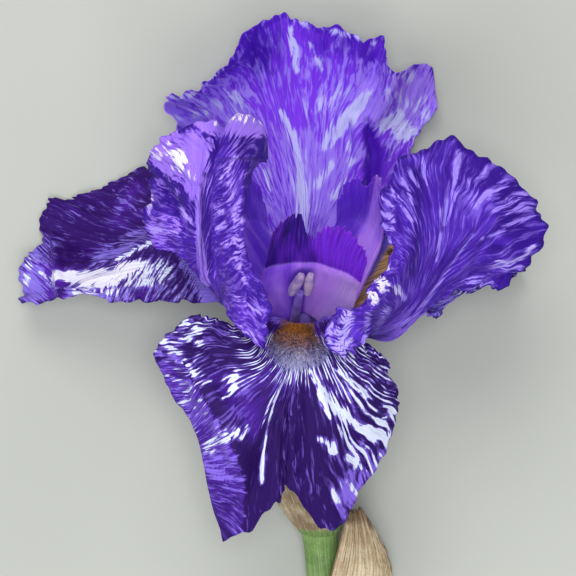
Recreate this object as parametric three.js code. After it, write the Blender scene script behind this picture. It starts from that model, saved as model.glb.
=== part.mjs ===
// Cut bearded iris flower lying on its back: six petals, three bearded falls, three style arms,
// three stamens, the tube, ovary, papery spathes and a short cut stem.
// Millimetres, +Z up, floor at z = 0. The flower's own axis runs 20 degrees above the floor.
import * as THREE from "three";

// ---- driving dimensions ----
const THROAT = [4.8, 6.5, 23]; // centre of the flower's throat; the origin is the middle of the footprint
const AXIS_TILT = 20; // degrees between the flower's axis and the floor
const RIM_RADIUS = 4.6; // where the six petal bases stand on the tube's rim
const RIM_HALF_ANGLE = 24; // degrees of rim taken by half a petal base
const PETAL_THICKNESS = 0.8;
const STYLE_THICKNESS = 1.0;
const SPATHE_THICKNESS = 0.8;
const FLOOR_GAP = 0.42; // lowest middle surface of a petal pressed on the floor
const SEAT_GAP = 0.3; // clearance between neighbouring pieces
const BEARD_HEIGHT = 2.2;
const TUBE_RADIUS = 3.6;
const TUBE_LENGTH = 21;
const OVARY_RADIUS = 4.8;
const STEM_RADIUS = 3.75;
const STEM_END_Y = -82;
const FILAMENT_RADIUS = 0.8;
const ANTHER_LENGTH = 8;

// ---- the flower's own directions, written in the lying frame ----
const tilt = THREE.MathUtils.degToRad(AXIS_TILT);
const UP = new THREE.Vector3(0, Math.cos(tilt), Math.sin(tilt)); // towards the top of the bloom
const FRONT = new THREE.Vector3(0, -Math.sin(tilt), Math.cos(tilt)); // towards the front fall
const SIDE = new THREE.Vector3(1, 0, 0);

function outward(azimuth) {
  const angle = THREE.MathUtils.degToRad(azimuth);
  const result = FRONT.clone().multiplyScalar(Math.cos(angle));
  return result.addScaledVector(SIDE, Math.sin(angle));
}

function around(azimuth) {
  return outward(azimuth + 90);
}

// a point given by how far it is round, out from and up the flower's axis
function bloomPoint(azimuth, tangent, out, up) {
  const result = outward(azimuth).multiplyScalar(out);
  result.addScaledVector(around(azimuth), tangent);
  result.addScaledVector(UP, up);
  return result;
}

function place(point) {
  return new THREE.Vector3(point.x + THROAT[0], point.y + THROAT[1], point.z + THROAT[2]);
}

// ---- curves and lofted skins ----
function curveThrough(points) {
  return new THREE.CatmullRomCurve3(points, false, "catmullrom", 0.5);
}

// a skin whose veins run from base to margin; u goes across the veins, v along them
function skin(veins) {
  const curves = veins.map((points) => curveThrough(points));
  return function (u, v) {
    const across = curveThrough(curves.map((curve) => curve.getPoint(v)));
    return across.getPoint(u);
  };
}

function pressedOnFloor(point) {
  const excess = point.z - FLOOR_GAP;
  const softness = 0.6;
  const eased = excess > 8 ? excess : softness * Math.log(1 + Math.exp(excess / softness));
  return new THREE.Vector3(point.x, point.y, FLOOR_GAP + eased);
}

function skinNormal(surface, u, v) {
  const step = 0.004;
  const u0 = Math.max(0, u - step);
  const u1 = Math.min(1, u + step);
  const v0 = Math.max(0, v - step);
  const v1 = Math.min(1, v + step);
  const du = surface(u1, v).sub(surface(u0, v));
  const dv = surface(u, v1).sub(surface(u, v0));
  return du.cross(dv).normalize();
}

// ---- closed bodies ----
function closedBody(name, vertices, faces, material) {
  const corners = [];
  for (const face of faces) {
    corners.push(face);
  }
  let volume = 0;
  for (const [a, b, c] of corners) {
    const cross = vertices[b].clone().cross(vertices[c]);
    volume += vertices[a].dot(cross);
  }
  const index = [];
  for (const [a, b, c] of corners) {
    if (volume > 0) {
      index.push(a, b, c);
    } else {
      index.push(a, c, b);
    }
  }
  const geometry = new THREE.BufferGeometry();
  geometry.setFromPoints(vertices);
  geometry.setIndex(index);
  geometry.computeVertexNormals();
  const mesh = new THREE.Mesh(geometry, material);
  mesh.name = name;
  return mesh;
}

// a closed body between a lower and an upper grid of points with the same layout
function gridBody(name, lower, upper, nu, nv, material) {
  const vertices = [];
  const faces = [];
  const row = nv + 1;
  const count = (nu + 1) * row;
  for (const point of lower) {
    vertices.push(point);
  }
  for (const point of upper) {
    vertices.push(point);
  }
  function quad(a, b, c, d) {
    faces.push([a, b, c]);
    faces.push([a, c, d]);
  }
  for (let i = 0; i < nu; i += 1) {
    for (let j = 0; j < nv; j += 1) {
      const a = i * row + j;
      quad(a, a + 1, a + row + 1, a + row);
      quad(count + a, count + a + row, count + a + row + 1, count + a + 1);
    }
  }
  for (let i = 0; i < nu; i += 1) {
    const near = i * row;
    const far = i * row + nv;
    quad(near, near + row, count + near + row, count + near);
    quad(far, count + far, count + far + row, far + row);
  }
  for (let j = 0; j < nv; j += 1) {
    const first = j;
    const last = nu * row + j;
    quad(first, count + first, count + first + 1, first + 1);
    quad(last, last + 1, count + last + 1, count + last);
  }
  return closedBody(name, vertices, faces, material);
}

// a skin of even thickness, from its middle surface
function shell(name, surface, nu, nv, thickness, material) {
  const lower = [];
  const upper = [];
  for (let i = 0; i <= nu; i += 1) {
    for (let j = 0; j <= nv; j += 1) {
      const u = i / nu;
      const v = j / nv;
      const middle = surface(u, v);
      const normal = skinNormal(surface, u, v);
      lower.push(middle.clone().addScaledVector(normal, -thickness / 2));
      upper.push(middle.clone().addScaledVector(normal, thickness / 2));
    }
  }
  return gridBody(name, lower, upper, nu, nv, material);
}

// a round bar along a path, with a radius for each place from 0 to 1
function bar(name, path, radiusAt, rings, sides, material, wide = SIDE) {
  const vertices = [];
  const faces = [];
  const up = wide;
  for (let i = 0; i <= rings; i += 1) {
    const t = i / rings;
    const centre = path.getPoint(t);
    const tangent = path.getTangent(t);
    const first = up.clone().addScaledVector(tangent, -up.dot(tangent)).normalize();
    const second = tangent.clone().cross(first);
    for (let k = 0; k < sides; k += 1) {
      const angle = (2 * Math.PI * k) / sides;
      const radius = radiusAt(t, angle);
      const point = centre.clone();
      point.addScaledVector(first, radius * Math.cos(angle));
      point.addScaledVector(second, radius * Math.sin(angle));
      vertices.push(point);
    }
  }
  for (let i = 0; i < rings; i += 1) {
    for (let k = 0; k < sides; k += 1) {
      const next = (k + 1) % sides;
      const a = i * sides + k;
      const b = i * sides + next;
      const c = (i + 1) * sides + next;
      const d = (i + 1) * sides + k;
      faces.push([a, b, c]);
      faces.push([a, c, d]);
    }
  }
  const start = vertices.length;
  vertices.push(path.getPoint(0));
  vertices.push(path.getPoint(1));
  const lastRing = rings * sides;
  for (let k = 0; k < sides; k += 1) {
    const next = (k + 1) % sides;
    faces.push([start, next, k]);
    faces.push([start + 1, lastRing + k, lastRing + next]);
  }
  return closedBody(name, vertices, faces, material);
}

// a wall turned about a path: the inner and outer radii are joined at both ends
function sleeve(name, path, profile, sides, material) {
  const vertices = [];
  const faces = [];
  const up = new THREE.Vector3(1, 0, 0);
  for (const [t, radius] of profile) {
    const centre = path.getPoint(t);
    const tangent = path.getTangent(t);
    const first = up.clone().addScaledVector(tangent, -up.dot(tangent)).normalize();
    const second = tangent.clone().cross(first);
    for (let k = 0; k < sides; k += 1) {
      const angle = (2 * Math.PI * k) / sides;
      const point = centre.clone();
      point.addScaledVector(first, radius * Math.cos(angle));
      point.addScaledVector(second, radius * Math.sin(angle));
      vertices.push(point);
    }
  }
  const rings = profile.length;
  for (let i = 0; i + 1 < rings; i += 1) {
    for (let k = 0; k < sides; k += 1) {
      const next = (k + 1) % sides;
      const a = i * sides + k;
      const b = i * sides + next;
      const c = (i + 1) * sides + next;
      const d = (i + 1) * sides + k;
      faces.push([a, b, c]);
      faces.push([a, c, d]);
    }
  }
  const start = vertices.length;
  vertices.push(path.getPoint(profile[0][0]));
  vertices.push(path.getPoint(profile[rings - 1][0]));
  for (let k = 0; k < sides; k += 1) {
    const next = (k + 1) % sides;
    faces.push([start, next, k]);
    faces.push([start + 1, (rings - 1) * sides + k, (rings - 1) * sides + next]);
  }
  return closedBody(name, vertices, faces, material);
}

// ---- petals ----
// Each vein is a list of points [x, y, z] from the throat's centre, after a base on the tube's rim
// and a narrow channelled claw. "turn" is +1 where u goes the way the azimuth grows.
function petalVeins(petal) {
  const last = petal.veins.length - 1;
  return petal.veins.map((points, i) => {
    const s = (2 * i) / last - 1;
    const angle = petal.azimuth + petal.turn * RIM_HALF_ANGLE * s;
    const base = bloomPoint(angle, 0, RIM_RADIUS, 0);
    const [out, up, half, depth] = petal.claw;
    const sink = depth * (1 - s * s);
    const claw = bloomPoint(petal.azimuth, petal.turn * half * s, out + 0.5 * sink, up - sink);
    const rest = points.map(([x, y, z]) => new THREE.Vector3(x, y, z));
    return [base, claw, ...rest].map((point) => place(point));
  });
}

function petalSkin(petal) {
  const surface = skin(petalVeins(petal));
  return function (u, v) {
    return pressedOnFloor(surface(u, v));
  };
}

const FRONT_FALL = {
  azimuth: 0,
  turn: 1,
  claw: [12, 6, 5, 1.5],
  veins: [
    [[-9, 1, 17], [-14, -0.2, 21], [-19, 1.3, 21.5], [-24, 2.3, 19.5]],
    [[-7.5, 0, 19.5], [-13, -4, 24.5], [-22, -3.5, 23.5], [-32, -5, 17.5]],
    [[-5.5, -0.8, 20.5], [-10, -7.5, 26], [-19.5, -10, 25], [-29, -14, 17]],
    [[-3.5, -1, 21], [-6, -9, 26.5], [-14.6, -18.5, 25], [-22.3, -26, 15]],
    [[-2.2, -1, 21.3], [-3.7, -10, 26.5], [-9.5, -24, 24.5], [-17, -46.5, 11]],
    [[-1.3, -1, 21.5], [-2.4, -10, 26.3], [-5.5, -23, 23], [-7.5, -38.5, 17]],
    [[-0.5, -1, 21.5], [-1.3, -10, 26.2], [-3.8, -22, 22.5], [-3, -35, 19.5]],
    [[0.5, -1, 21.3], [0.5, -10, 26.5], [1.5, -24, 24.5], [5.5, -45, 12]],
    [[2, -1, 21], [4, -9.5, 26.8], [9, -21, 25], [15, -34, 15]],
    [[3.8, -0.8, 20.3], [7.5, -8.5, 26.3], [14, -14.5, 24.5], [20.5, -20, 16]],
    [[5.5, -0.2, 19], [10, -6.5, 25], [15.5, -9, 24], [20.5, -13, 19]],
    [[7, 1, 17], [10.5, -1.5, 21.5], [14, -4.4, 22.3], [18, -7.2, 20]],
  ],
};

const LEFT_FALL = {
  azimuth: -120,
  turn: 1,
  claw: [12, 7, 4.5, 1.5],
  veins: [
    [[-19, 21.5, -7], [-26, 28.5, -12], [-31, 33, -18], [-35.5, 35.5, -23]],
    [[-20.8, 20, -6.2], [-31, 26, -12], [-38, 30, -19], [-44.5, 31, -23.5]],
    [[-22.1, 18.4, -4.8], [-34, 22.5, -11], [-42.5, 26, -19], [-51, 28.5, -23.5]],
    [[-22.9, 16.8, -3.1], [-35.3, 19.9, -10], [-46, 22.5, -19], [-57.8, 27, -23.5]],
    [[-23.2, 15, -1.3], [-36, 17.6, -8.4], [-47.5, 17.5, -18], [-58.8, 18.5, -23]],
    [[-22.9, 13.2, 0.4], [-36.4, 15.2, -6.3], [-48, 12.7, -16], [-62.5, 14, -20]],
    [[-22, 11.3, 2], [-36, 12.9, -3.8], [-47.5, 10, -9.5], [-62.3, 4.5, -14]],
    [[-20.6, 9.4, 3.5], [-34.2, 10.6, -1], [-44, 8, -3], [-54, 7, -7]],
    [[-18.8, 7.4, 4.7], [-30, 7.8, 3.2], [-37, 6.5, 2.5], [-44, 6, 0]],
    [[-16.5, 5.5, 5.5], [-23.5, 5, 6.5], [-29, 5.5, 6], [-34, 5.5, 5]],
  ],
};

const RIGHT_FALL = {
  azimuth: 120,
  turn: -1,
  claw: [12, 7, 4.5, 1.5],
  veins: [
    [[17.5, 20.5, -7], [22, 27, -12], [26, 31.5, -18], [29.5, 33.5, -23]],
    [[19.5, 19, -6.2], [27, 25, -12], [32.5, 28.5, -19], [37, 29.5, -23.5]],
    [[21, 17.8, -5], [30.5, 21.5, -11], [37.5, 24, -19], [43.5, 25, -23.5]],
    [[22, 16.6, -4.3], [32.5, 19, -10], [41, 20, -18.5], [48.5, 20.5, -23.5]],
    [[22.3, 14.9, -3.1], [33, 16.5, -8.4], [42.5, 15.6, -16], [50, 14, -22]],
    [[21.5, 12.6, -1], [32.5, 13, -4.5], [41, 12, -9.5], [48, 11, -14]],
    [[20, 9.6, 2], [30, 9.4, 0.8], [37.5, 9, -3], [43.5, 9.5, -7]],
    [[18, 7, 3.8], [26, 6, 3.6], [32, 5.6, 1.5], [36.5, 7.5, -1]],
    [[15.5, 4.6, 4.6], [21.5, 4, 5.4], [25.5, 2.6, 4.8], [29, 1, 3.8]],
  ],
};

const BACK_STANDARD = {
  azimuth: 180,
  turn: -1,
  claw: [12, 5.5, 4, 1.4],
  veins: [
    [[-6, 21, -12], [-12, 29.5, -15.5], [-17.5, 36, -15.5], [-22.5, 41, -14], [-27, 43, -9]],
    [[-4.8, 20, -13.2], [-10, 30, -17.8], [-16, 40, -19.5], [-23, 46, -16], [-30.5, 50.3, -7]],
    [[-3.6, 19.2, -14], [-7.6, 30.5, -19.5], [-12.8, 42, -21.5], [-19, 49, -17], [-24, 51.8, -9]],
    [[-2.4, 18.6, -14.3], [-5.2, 31, -20.5], [-9.6, 44.5, -22.5], [-15, 53.5, -18], [-18.8, 56.2, -10]],
    [[-1.2, 18.2, -14.7], [-2.6, 32, -21], [-5.5, 46, -23.2], [-9.8, 57, -18.5], [-13, 63.8, -10]],
    [[0, 18, -14.9], [-0.5, 32.5, -21], [-3, 46.5, -22.6], [-5.5, 59, -17.5], [-6, 69, -11]],
    [[1.1, 18.2, -14.7], [1.8, 32.5, -21], [2, 46.5, -23], [1.5, 58.5, -18.5], [2, 67, -11]],
    [[2.2, 18.5, -14.2], [4.5, 31.8, -20.2], [6.5, 45.5, -22.3], [8.5, 57.5, -17.5], [10, 65.2, -9]],
    [[3.3, 18.9, -13.3], [7.5, 31, -18.8], [10.8, 43.5, -19.8], [14.5, 54.5, -15], [17, 62.8, -7.5]],
    [[4.4, 19.4, -13.2], [10, 31, -18.2], [14, 42, -18], [18, 50, -13.5], [20.3, 56.3, -8]],
    [[5.4, 20, -12.6], [12.5, 31, -18], [17, 40.5, -19.5], [23, 47.5, -18.5], [28.5, 58, -16.5]],
    [[6.2, 20.8, -12], [14.5, 31, -17.5], [19, 37.5, -19.5], [24, 43, -20.5], [30.3, 48.3, -19]],
  ],
};

const LEFT_STANDARD = {
  azimuth: -60,
  turn: 1,
  claw: [11, 3, 3.2, 1.2],
  veins: [
    [[-20.5, 8, 10], [-25.5, 14, 12.5], [-29, 16.5, 11], [-32, 17, 9.5]],
    [[-21, 8.2, 12], [-25.5, 16.5, 15.5], [-30.5, 20, 13], [-35, 20.5, 9]],
    [[-21.2, 8.5, 13.5], [-25, 20, 17.5], [-29.5, 24.5, 15], [-33.5, 26.5, 11]],
    [[-21.4, 8.8, 14.6], [-24.4, 23, 18.8], [-29, 30, 14], [-33.5, 34.5, 9.5]],
    [[-21.5, 9.1, 15.3], [-23.8, 25.5, 20.5], [-28, 34, 20], [-33, 38.5, 16.5]],
    [[-21.6, 9.3, 15.9], [-23.4, 26, 21.5], [-25.5, 36, 22.5], [-28.5, 42, 20]],
    [[-21.6, 9.5, 16.5], [-22.6, 25.5, 22.3], [-20.3, 35, 24.5], [-20.5, 44.5, 23.5]],
    [[-21.3, 9.4, 17], [-21.3, 26, 23.2], [-18, 38, 25], [-14, 46.3, 19], [-11, 40, 12]],
    [[-20.8, 9, 17.5], [-20, 25.5, 24], [-15.5, 36, 26], [-8.8, 42.3, 18], [-7.2, 33, 13.5]],
    [[-20, 8.6, 18], [-18.8, 23, 25.3], [-14, 30.5, 27.5], [-11.8, 33, 26.5], [-10, 33, 23]],
    [[-19, 8, 18.3], [-17.3, 18.5, 26.3], [-14, 21.5, 28.5], [-12.8, 23, 28]],
    [[-18, 7.4, 18.3], [-16.2, 13.5, 26.8], [-12.8, 13.5, 29.5], [-11, 13.2, 29.3]],
    [[-17.2, 6.8, 17.8], [-15.5, 9, 26.5], [-10.5, 7.5, 29.5], [-7.3, 6.5, 29.5]],
    [[-16.5, 6.4, 17], [-15.5, 5.5, 25.5], [-10.5, 2.5, 29], [-7, 0.8, 29.5]],
    [[-16, 6, 16], [-16.5, 2.8, 23.5], [-12.5, -2, 27.5], [-8.6, -5.3, 28.5]],
  ],
};

const RIGHT_STANDARD = {
  azimuth: 60,
  turn: 1,
  claw: [11, 2, 3.2, 1.2],
  veins: [
    [[14.5, 0.2, 17], [14.8, -1.6, 24], [11.8, -5, 27.7], [8, -7.3, 28.5]],
    [[16, 1, 17.3], [14, 0.5, 25], [8.5, -2, 28.5], [4.6, -3, 28.5]],
    [[17.2, 1.6, 17.5], [14.5, 2.5, 25.5], [9.5, 2, 28], [7, 3, 27]],
    [[18.4, 2.2, 17.6], [17, 4, 26], [14, 3.5, 28], [11.5, 3.8, 27.5]],
    [[19.5, 2.8, 17.7], [19.5, 7.5, 26], [17, 9, 28.5], [14.8, 9.5, 28.5]],
    [[20.6, 3.4, 17.6], [22, 11, 26], [20.5, 14.5, 27.5], [19, 17, 27]],
    [[21.3, 3.6, 17.4], [24, 14, 25.5], [20.5, 20.5, 27.5], [16.8, 22.5, 26]],
    [[22, 3.7, 17], [26, 15.5, 25], [22.5, 26, 26], [17.8, 30.5, 22.5]],
    [[22.5, 3.6, 16.6], [28, 16.5, 24.5], [26.5, 29, 25], [24.5, 38, 20]],
    [[22.9, 3.2, 16.1], [29.8, 16.5, 24], [31, 30, 25], [33.5, 40.5, 20]],
    [[23.1, 2.6, 15.5], [31.3, 15.8, 23.5], [36.5, 27, 24.5], [42, 35, 20]],
    [[23.1, 1.9, 14.8], [32.6, 14.6, 22.5], [42, 24, 23], [50.5, 27.5, 17.5]],
    [[22.8, 1.1, 14], [33, 12.4, 21], [43.3, 18.8, 21.5], [53.5, 21.5, 17]],
    [[22.3, 0.3, 12.9], [32, 9.8, 18.5], [41.5, 13.2, 19], [48.8, 13, 15]],
    [[21.5, -0.5, 11.5], [30.3, 7.2, 15.5], [38, 8.4, 15], [44.5, 8, 12]],
  ],
};

// ---- style arms: each vein is [round, out, up] from the base to the lip and over the crest ----
const STYLE_VEINS = [
  [[-3.2, 2.6, 3], [-7, 7, 7.6], [-8.5, 11.8, 13.6], [-8.2, 15.3, 18.8], [-7.2, 16.4, 24], [-6.2, 17, 28]],
  [[-2.2, 2.8, 3.6], [-4.4, 7.1, 9.4], [-5, 12.4, 15.4], [-4.8, 16, 20.1], [-4.5, 17.3, 25.6], [-3.2, 18, 31]],
  [[-1, 2.9, 4], [-1.6, 7.2, 10.3], [-1.4, 12.4, 16.3], [-1, 16.3, 20.7], [-0.8, 17.7, 26.2], [-0.4, 18.8, 31.9]],
  [[0, 3, 4.1], [0.5, 7.2, 10.5], [1.5, 12.4, 16.5], [2, 16.2, 20.6], [1.8, 17.4, 23.9], [1.7, 17.5, 26.4]],
  [[1, 2.9, 4], [2.6, 7.2, 10.3], [4.4, 12.4, 16], [5, 16.1, 20], [5.3, 17.3, 24.9], [6, 18.1, 29.2]],
  [[2.2, 2.8, 3.6], [5.2, 7.2, 9.2], [8, 12.4, 14.6], [9, 16.1, 18.4], [9.7, 17.1, 23.2], [11.3, 18, 26.8]],
  [[3.2, 2.6, 3], [7.5, 7.2, 7.4], [11, 12.2, 12], [12.8, 15.9, 15.8], [13.6, 17, 19.2], [14.2, 17.8, 21.4]],
];

function styleSkin(azimuth, spread) {
  const veins = STYLE_VEINS.map((points) =>
    points.map(([round, out, up]) => place(bloomPoint(azimuth, spread * round, out, up))),
  );
  return skin(veins);
}

// ---- the beard: a raised pad of hairs along the middle of a fall ----
function beardPad(name, surface, middle, halfWidth, from, to, side, material) {
  const nu = 6;
  const nv = 10;
  const lower = [];
  const upper = [];
  for (let i = 0; i <= nu; i += 1) {
    for (let j = 0; j <= nv; j += 1) {
      const s = (2 * i) / nu - 1;
      const t = j / nv;
      const taper = 0.45 + 0.55 * Math.sin(Math.PI * Math.min(1, 0.15 + 0.8 * t));
      const u = middle + halfWidth * taper * s;
      const v = from + (to - from) * t;
      const normal = skinNormal(surface, u, v).multiplyScalar(side);
      const ridge = skinNormal(surface, middle, v).multiplyScalar(side);
      const foot = PETAL_THICKNESS / 2 + SEAT_GAP + 0.1;
      const swell = Math.sqrt(Math.max(0, 1 - s * s)) * Math.sin(Math.PI * (0.08 + 0.84 * t));
      const seat = surface(u, v).addScaledVector(normal, foot);
      lower.push(seat);
      upper.push(seat.clone().addScaledVector(ridge, 0.35 + BEARD_HEIGHT * swell));
    }
  }
  return gridBody(name, lower, upper, nu, nv, material);
}

// ---- stamens ----
function filamentPath(azimuth) {
  const stations = [[3.1, 0.9], [6.2, 3.8], [10, 7.2], [13.2, 11]];
  return curveThrough(stations.map(([out, up]) => place(bloomPoint(azimuth, 0.4, out, up))));
}

function antherPath(azimuth) {
  const start = place(bloomPoint(azimuth, 0.4, 13.4, 11.4));
  const direction = bloomPoint(azimuth, 0, 0.46, 0.88).normalize();
  return new THREE.LineCurve3(start, start.clone().addScaledVector(direction, ANTHER_LENGTH));
}

// two pollen sacs side by side, drawn as one grooved bar
function antherRadius(t, angle) {
  const ends = Math.pow(Math.max(0, Math.sin(Math.PI * (0.06 + 0.88 * t))), 0.35);
  const sacs = 1.15 + 0.85 * Math.abs(Math.cos(angle));
  return ends * sacs;
}

// ---- tube, ovary, stem ----
const AXIS_POINTS = [
  [0, 0, 0],
  [0.7, -9.4, -3.4],
  [1.6, -20.7, -7.5],
  [2.8, -32.9, -11.9],
  [3.9, -44.8, -16.1],
];
const axisPath = curveThrough(AXIS_POINTS.map(([x, y, z]) => place(new THREE.Vector3(x, y, z))));
const AXIS_LENGTH = axisPath.getLength();

function axisPart(fromUp, toUp) {
  const points = [];
  for (let i = 0; i <= 6; i += 1) {
    const up = fromUp + ((toUp - fromUp) * i) / 6;
    points.push(axisPath.getPointAt(Math.min(1, up / AXIS_LENGTH)));
  }
  return curveThrough(points);
}

function tube(material) {
  const path = axisPart(0.8, TUBE_LENGTH);
  const profile = [
    [0.3, 1.9],
    [0.12, 2.3],
    [0, RIM_RADIUS - 0.9],
    [0, RIM_RADIUS + 0.4],
    [0.1, TUBE_RADIUS + 0.6],
    [0.25, TUBE_RADIUS],
    [0.7, TUBE_RADIUS - 0.4],
    [1, TUBE_RADIUS],
  ];
  return sleeve("perianth_tube", path, profile, 20, material);
}

function styleColumn(material) {
  const top = place(bloomPoint(0, 0, 0, 3.6));
  const path = new THREE.LineCurve3(axisPath.getPointAt(5.5 / AXIS_LENGTH), top);
  return bar("style_column", path, (t) => 1.2 + 0.7 * t, 5, 14, material);
}

function ovary(material) {
  const path = axisPart(TUBE_LENGTH + SEAT_GAP, AXIS_LENGTH - SEAT_GAP);
  function radius(t, angle) {
    const body = TUBE_RADIUS + (OVARY_RADIUS - TUBE_RADIUS) * Math.sin(Math.PI * Math.min(1, 0.1 + 0.85 * t));
    return body * (1 + 0.04 * Math.cos(3 * angle));
  }
  return bar("ovary", path, radius, 8, 24, material);
}

function stem(material) {
  const points = [
    [3.9, -44.8, -16.1],
    [4.4, -52, -18.2],
    [5, -60, -19],
    [5.6, -70, -19.2],
    [6.1, STEM_END_Y, -19.2],
  ];
  const path = curveThrough(points.map(([x, y, z]) => place(new THREE.Vector3(x, y, z))));
  function radius(t) {
    return STEM_RADIUS + 0.6 * Math.exp(-Math.pow(t / 0.12, 2));
  }
  return bar("stem", path, radius, 12, 20, material);
}

// ---- spathes: papery sheaths, open along one side ----
function innerSpatheSkin() {
  const turns = [-150, -110, -70, -30, 10, 50, 90, 130, 165];
  const rise = [8, 9, 11, 15, 19, 21, 20, 15, 9];
  const flare = [1, 3, 3.2, 1.4, 0, 0, 0, 0, 0];
  const veins = turns.map((angle, i) => {
    const points = [];
    for (let k = 0; k <= 4; k += 1) {
      const t = k / 4;
      const down = 46.8 - rise[i] * t;
      const ripple = 0.6 * Math.sin(3 * THREE.MathUtils.degToRad(angle)) * t;
      const radius = 4.6 + 4.8 * t - 1.6 * t * t + ripple + flare[i] * t;
      const centre = axisPath.getPointAt(down / AXIS_LENGTH);
      points.push(centre.addScaledVector(outward(angle), radius));
    }
    return points;
  });
  const surface = skin(veins);
  return (u, v) => pressedOnFloor(surface(u, v));
}

const OUTER_SPATHE_VEINS = [
  [[2.8, -75, -15.8], [2, -66, -14.6], [4, -57, -12], [8, -48, -12], [9.5, -42.5, -13]],
  [[5.5, -75, -14.7], [6.5, -66, -13], [9.5, -57, -10.5], [11, -49, -11], [10, -42.2, -12.7]],
  [[8.3, -75, -15.5], [10.5, -66, -14], [14.5, -57.5, -11.5], [14, -50, -12], [10.6, -42.6, -13]],
  [[9.9, -75, -17.8], [13, -66, -16.8], [18.5, -58, -15], [17, -51, -14.5], [11.2, -43.2, -13.7]],
  [[10.1, -75, -20.1], [13.2, -66, -20], [19.5, -59, -19], [18, -52, -17.5], [11.5, -44, -14.5]],
];

function outerSpatheSkin() {
  const veins = OUTER_SPATHE_VEINS.map((points) =>
    points.map(([x, y, z]) => place(new THREE.Vector3(x, y, z))),
  );
  const surface = skin(veins);
  return (u, v) => pressedOnFloor(surface(u, v));
}

// ---- materials ----
function finish(color, roughness) {
  return new THREE.MeshStandardMaterial({ color, roughness, metalness: 0 });
}

const petalFinish = finish(0x5a2fb0, 0.55);
const styleFinish = finish(0x6a35c0, 0.5);
const beardFinish = finish(0xd8842a, 0.8);
const stamenFinish = finish(0xd9c6d8, 0.6);
const greenFinish = finish(0x86a35a, 0.5);
const papery = finish(0xb08d5e, 0.75);

// ---- assembly ----
const flower = new THREE.Group();
flower.name = "bearded_iris";

const frontFallSkin = petalSkin(FRONT_FALL);
const leftFallSkin = petalSkin(LEFT_FALL);
const rightFallSkin = petalSkin(RIGHT_FALL);

flower.add(shell("front_fall", frontFallSkin, 22, 12, PETAL_THICKNESS, petalFinish));
flower.add(shell("left_fall", leftFallSkin, 16, 12, PETAL_THICKNESS, petalFinish));
flower.add(shell("right_fall", rightFallSkin, 16, 12, PETAL_THICKNESS, petalFinish));
flower.add(shell("back_standard", petalSkin(BACK_STANDARD), 20, 13, PETAL_THICKNESS, petalFinish));
flower.add(shell("left_standard", petalSkin(LEFT_STANDARD), 26, 12, PETAL_THICKNESS, petalFinish));
flower.add(shell("right_standard", petalSkin(RIGHT_STANDARD), 26, 12, PETAL_THICKNESS, petalFinish));

flower.add(beardPad("front_beard", frontFallSkin, 0.5, 0.36, 0.28, 0.6, -1, beardFinish));
flower.add(beardPad("left_beard", leftFallSkin, 0.5, 0.13, 0.25, 0.55, -1, beardFinish));
flower.add(beardPad("right_beard", rightFallSkin, 0.5, 0.13, 0.25, 0.55, 1, beardFinish));

const ARMS = [
  ["front", 0, 1],
  ["left", -120, -0.98],
  ["right", 120, 0.98],
];
for (const [word, azimuth, spread] of ARMS) {
  flower.add(shell(`${word}_style_arm`, styleSkin(azimuth, spread), 9, 9, STYLE_THICKNESS, styleFinish));
  flower.add(bar(`${word}_filament`, filamentPath(azimuth), () => FILAMENT_RADIUS, 5, 8, stamenFinish));
  const pollen = antherPath(azimuth);
  flower.add(bar(`${word}_anther`, pollen, antherRadius, 7, 12, stamenFinish, around(azimuth)));
}

flower.add(styleColumn(styleFinish));
flower.add(tube(greenFinish));
flower.add(ovary(greenFinish));
flower.add(stem(greenFinish));
flower.add(shell("inner_spathe", innerSpatheSkin(), 18, 6, SPATHE_THICKNESS, papery));
flower.add(shell("outer_spathe", outerSpatheSkin(), 10, 9, SPATHE_THICKNESS, papery));

export default flower;
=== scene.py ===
import bpy
import numpy as np
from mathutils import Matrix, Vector


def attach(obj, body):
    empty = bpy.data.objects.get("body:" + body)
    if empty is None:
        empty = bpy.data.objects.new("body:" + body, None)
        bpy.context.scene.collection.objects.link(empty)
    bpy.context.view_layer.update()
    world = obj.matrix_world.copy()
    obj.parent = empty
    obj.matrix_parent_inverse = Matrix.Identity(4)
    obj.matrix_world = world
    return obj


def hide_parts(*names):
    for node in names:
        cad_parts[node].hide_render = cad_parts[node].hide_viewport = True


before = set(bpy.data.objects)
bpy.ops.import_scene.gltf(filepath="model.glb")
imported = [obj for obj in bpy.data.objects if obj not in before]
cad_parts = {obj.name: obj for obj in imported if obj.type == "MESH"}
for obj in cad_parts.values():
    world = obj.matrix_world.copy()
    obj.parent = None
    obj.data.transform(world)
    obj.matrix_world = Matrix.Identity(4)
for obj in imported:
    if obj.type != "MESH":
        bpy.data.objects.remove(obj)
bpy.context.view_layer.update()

# ---- dimensions, in millimetres, as in the solids ----
MM = 0.001
THROAT = np.array([4.8, 6.5, 23.0])
TILT = np.radians(20)
RIM_RADIUS = 4.6
RIM_HALF_ANGLE = 24
FLOOR_GAP = 0.42
FLOOR_SOFTNESS = 0.6
FLOOR_REACH = 8
TUBE_RADIUS = 3.6
TUBE_LENGTH = 21
OVARY_RADIUS = 4.8
STEM_RADIUS = 3.75
STEM_END_Y = -82
SEAT_GAP = 0.3

# ---- how finely each kind of piece is divided ----
PETAL_NU, PETAL_NV = 180, 118
ARM_NU, ARM_NV = 150, 84
HAIR_RINGS, HAIR_SIDES = 3, 3
AXIS_SIDES = 72
CAP_RINGS = 5
CAP_TIP = 0.01  # the pinhole in a flat end, to the size of that end
STRIPES = 62

# ---- where a piece's faces lie on its bake map ----
MAP_EDGE = 0.01
FACE_LEFT, FACE_WIDTH, SECOND_FACE = 0.012, 0.465, 0.5
FACE_FOOT, FACE_HEIGHT = 0.04, 0.92
END_STRIPS, END_STRIP_HEIGHT = (0.008, 0.975), 0.016
SIDE_STRIPS, SIDE_STRIP_WIDTH = (0.482, 0.985), 0.012

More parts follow.
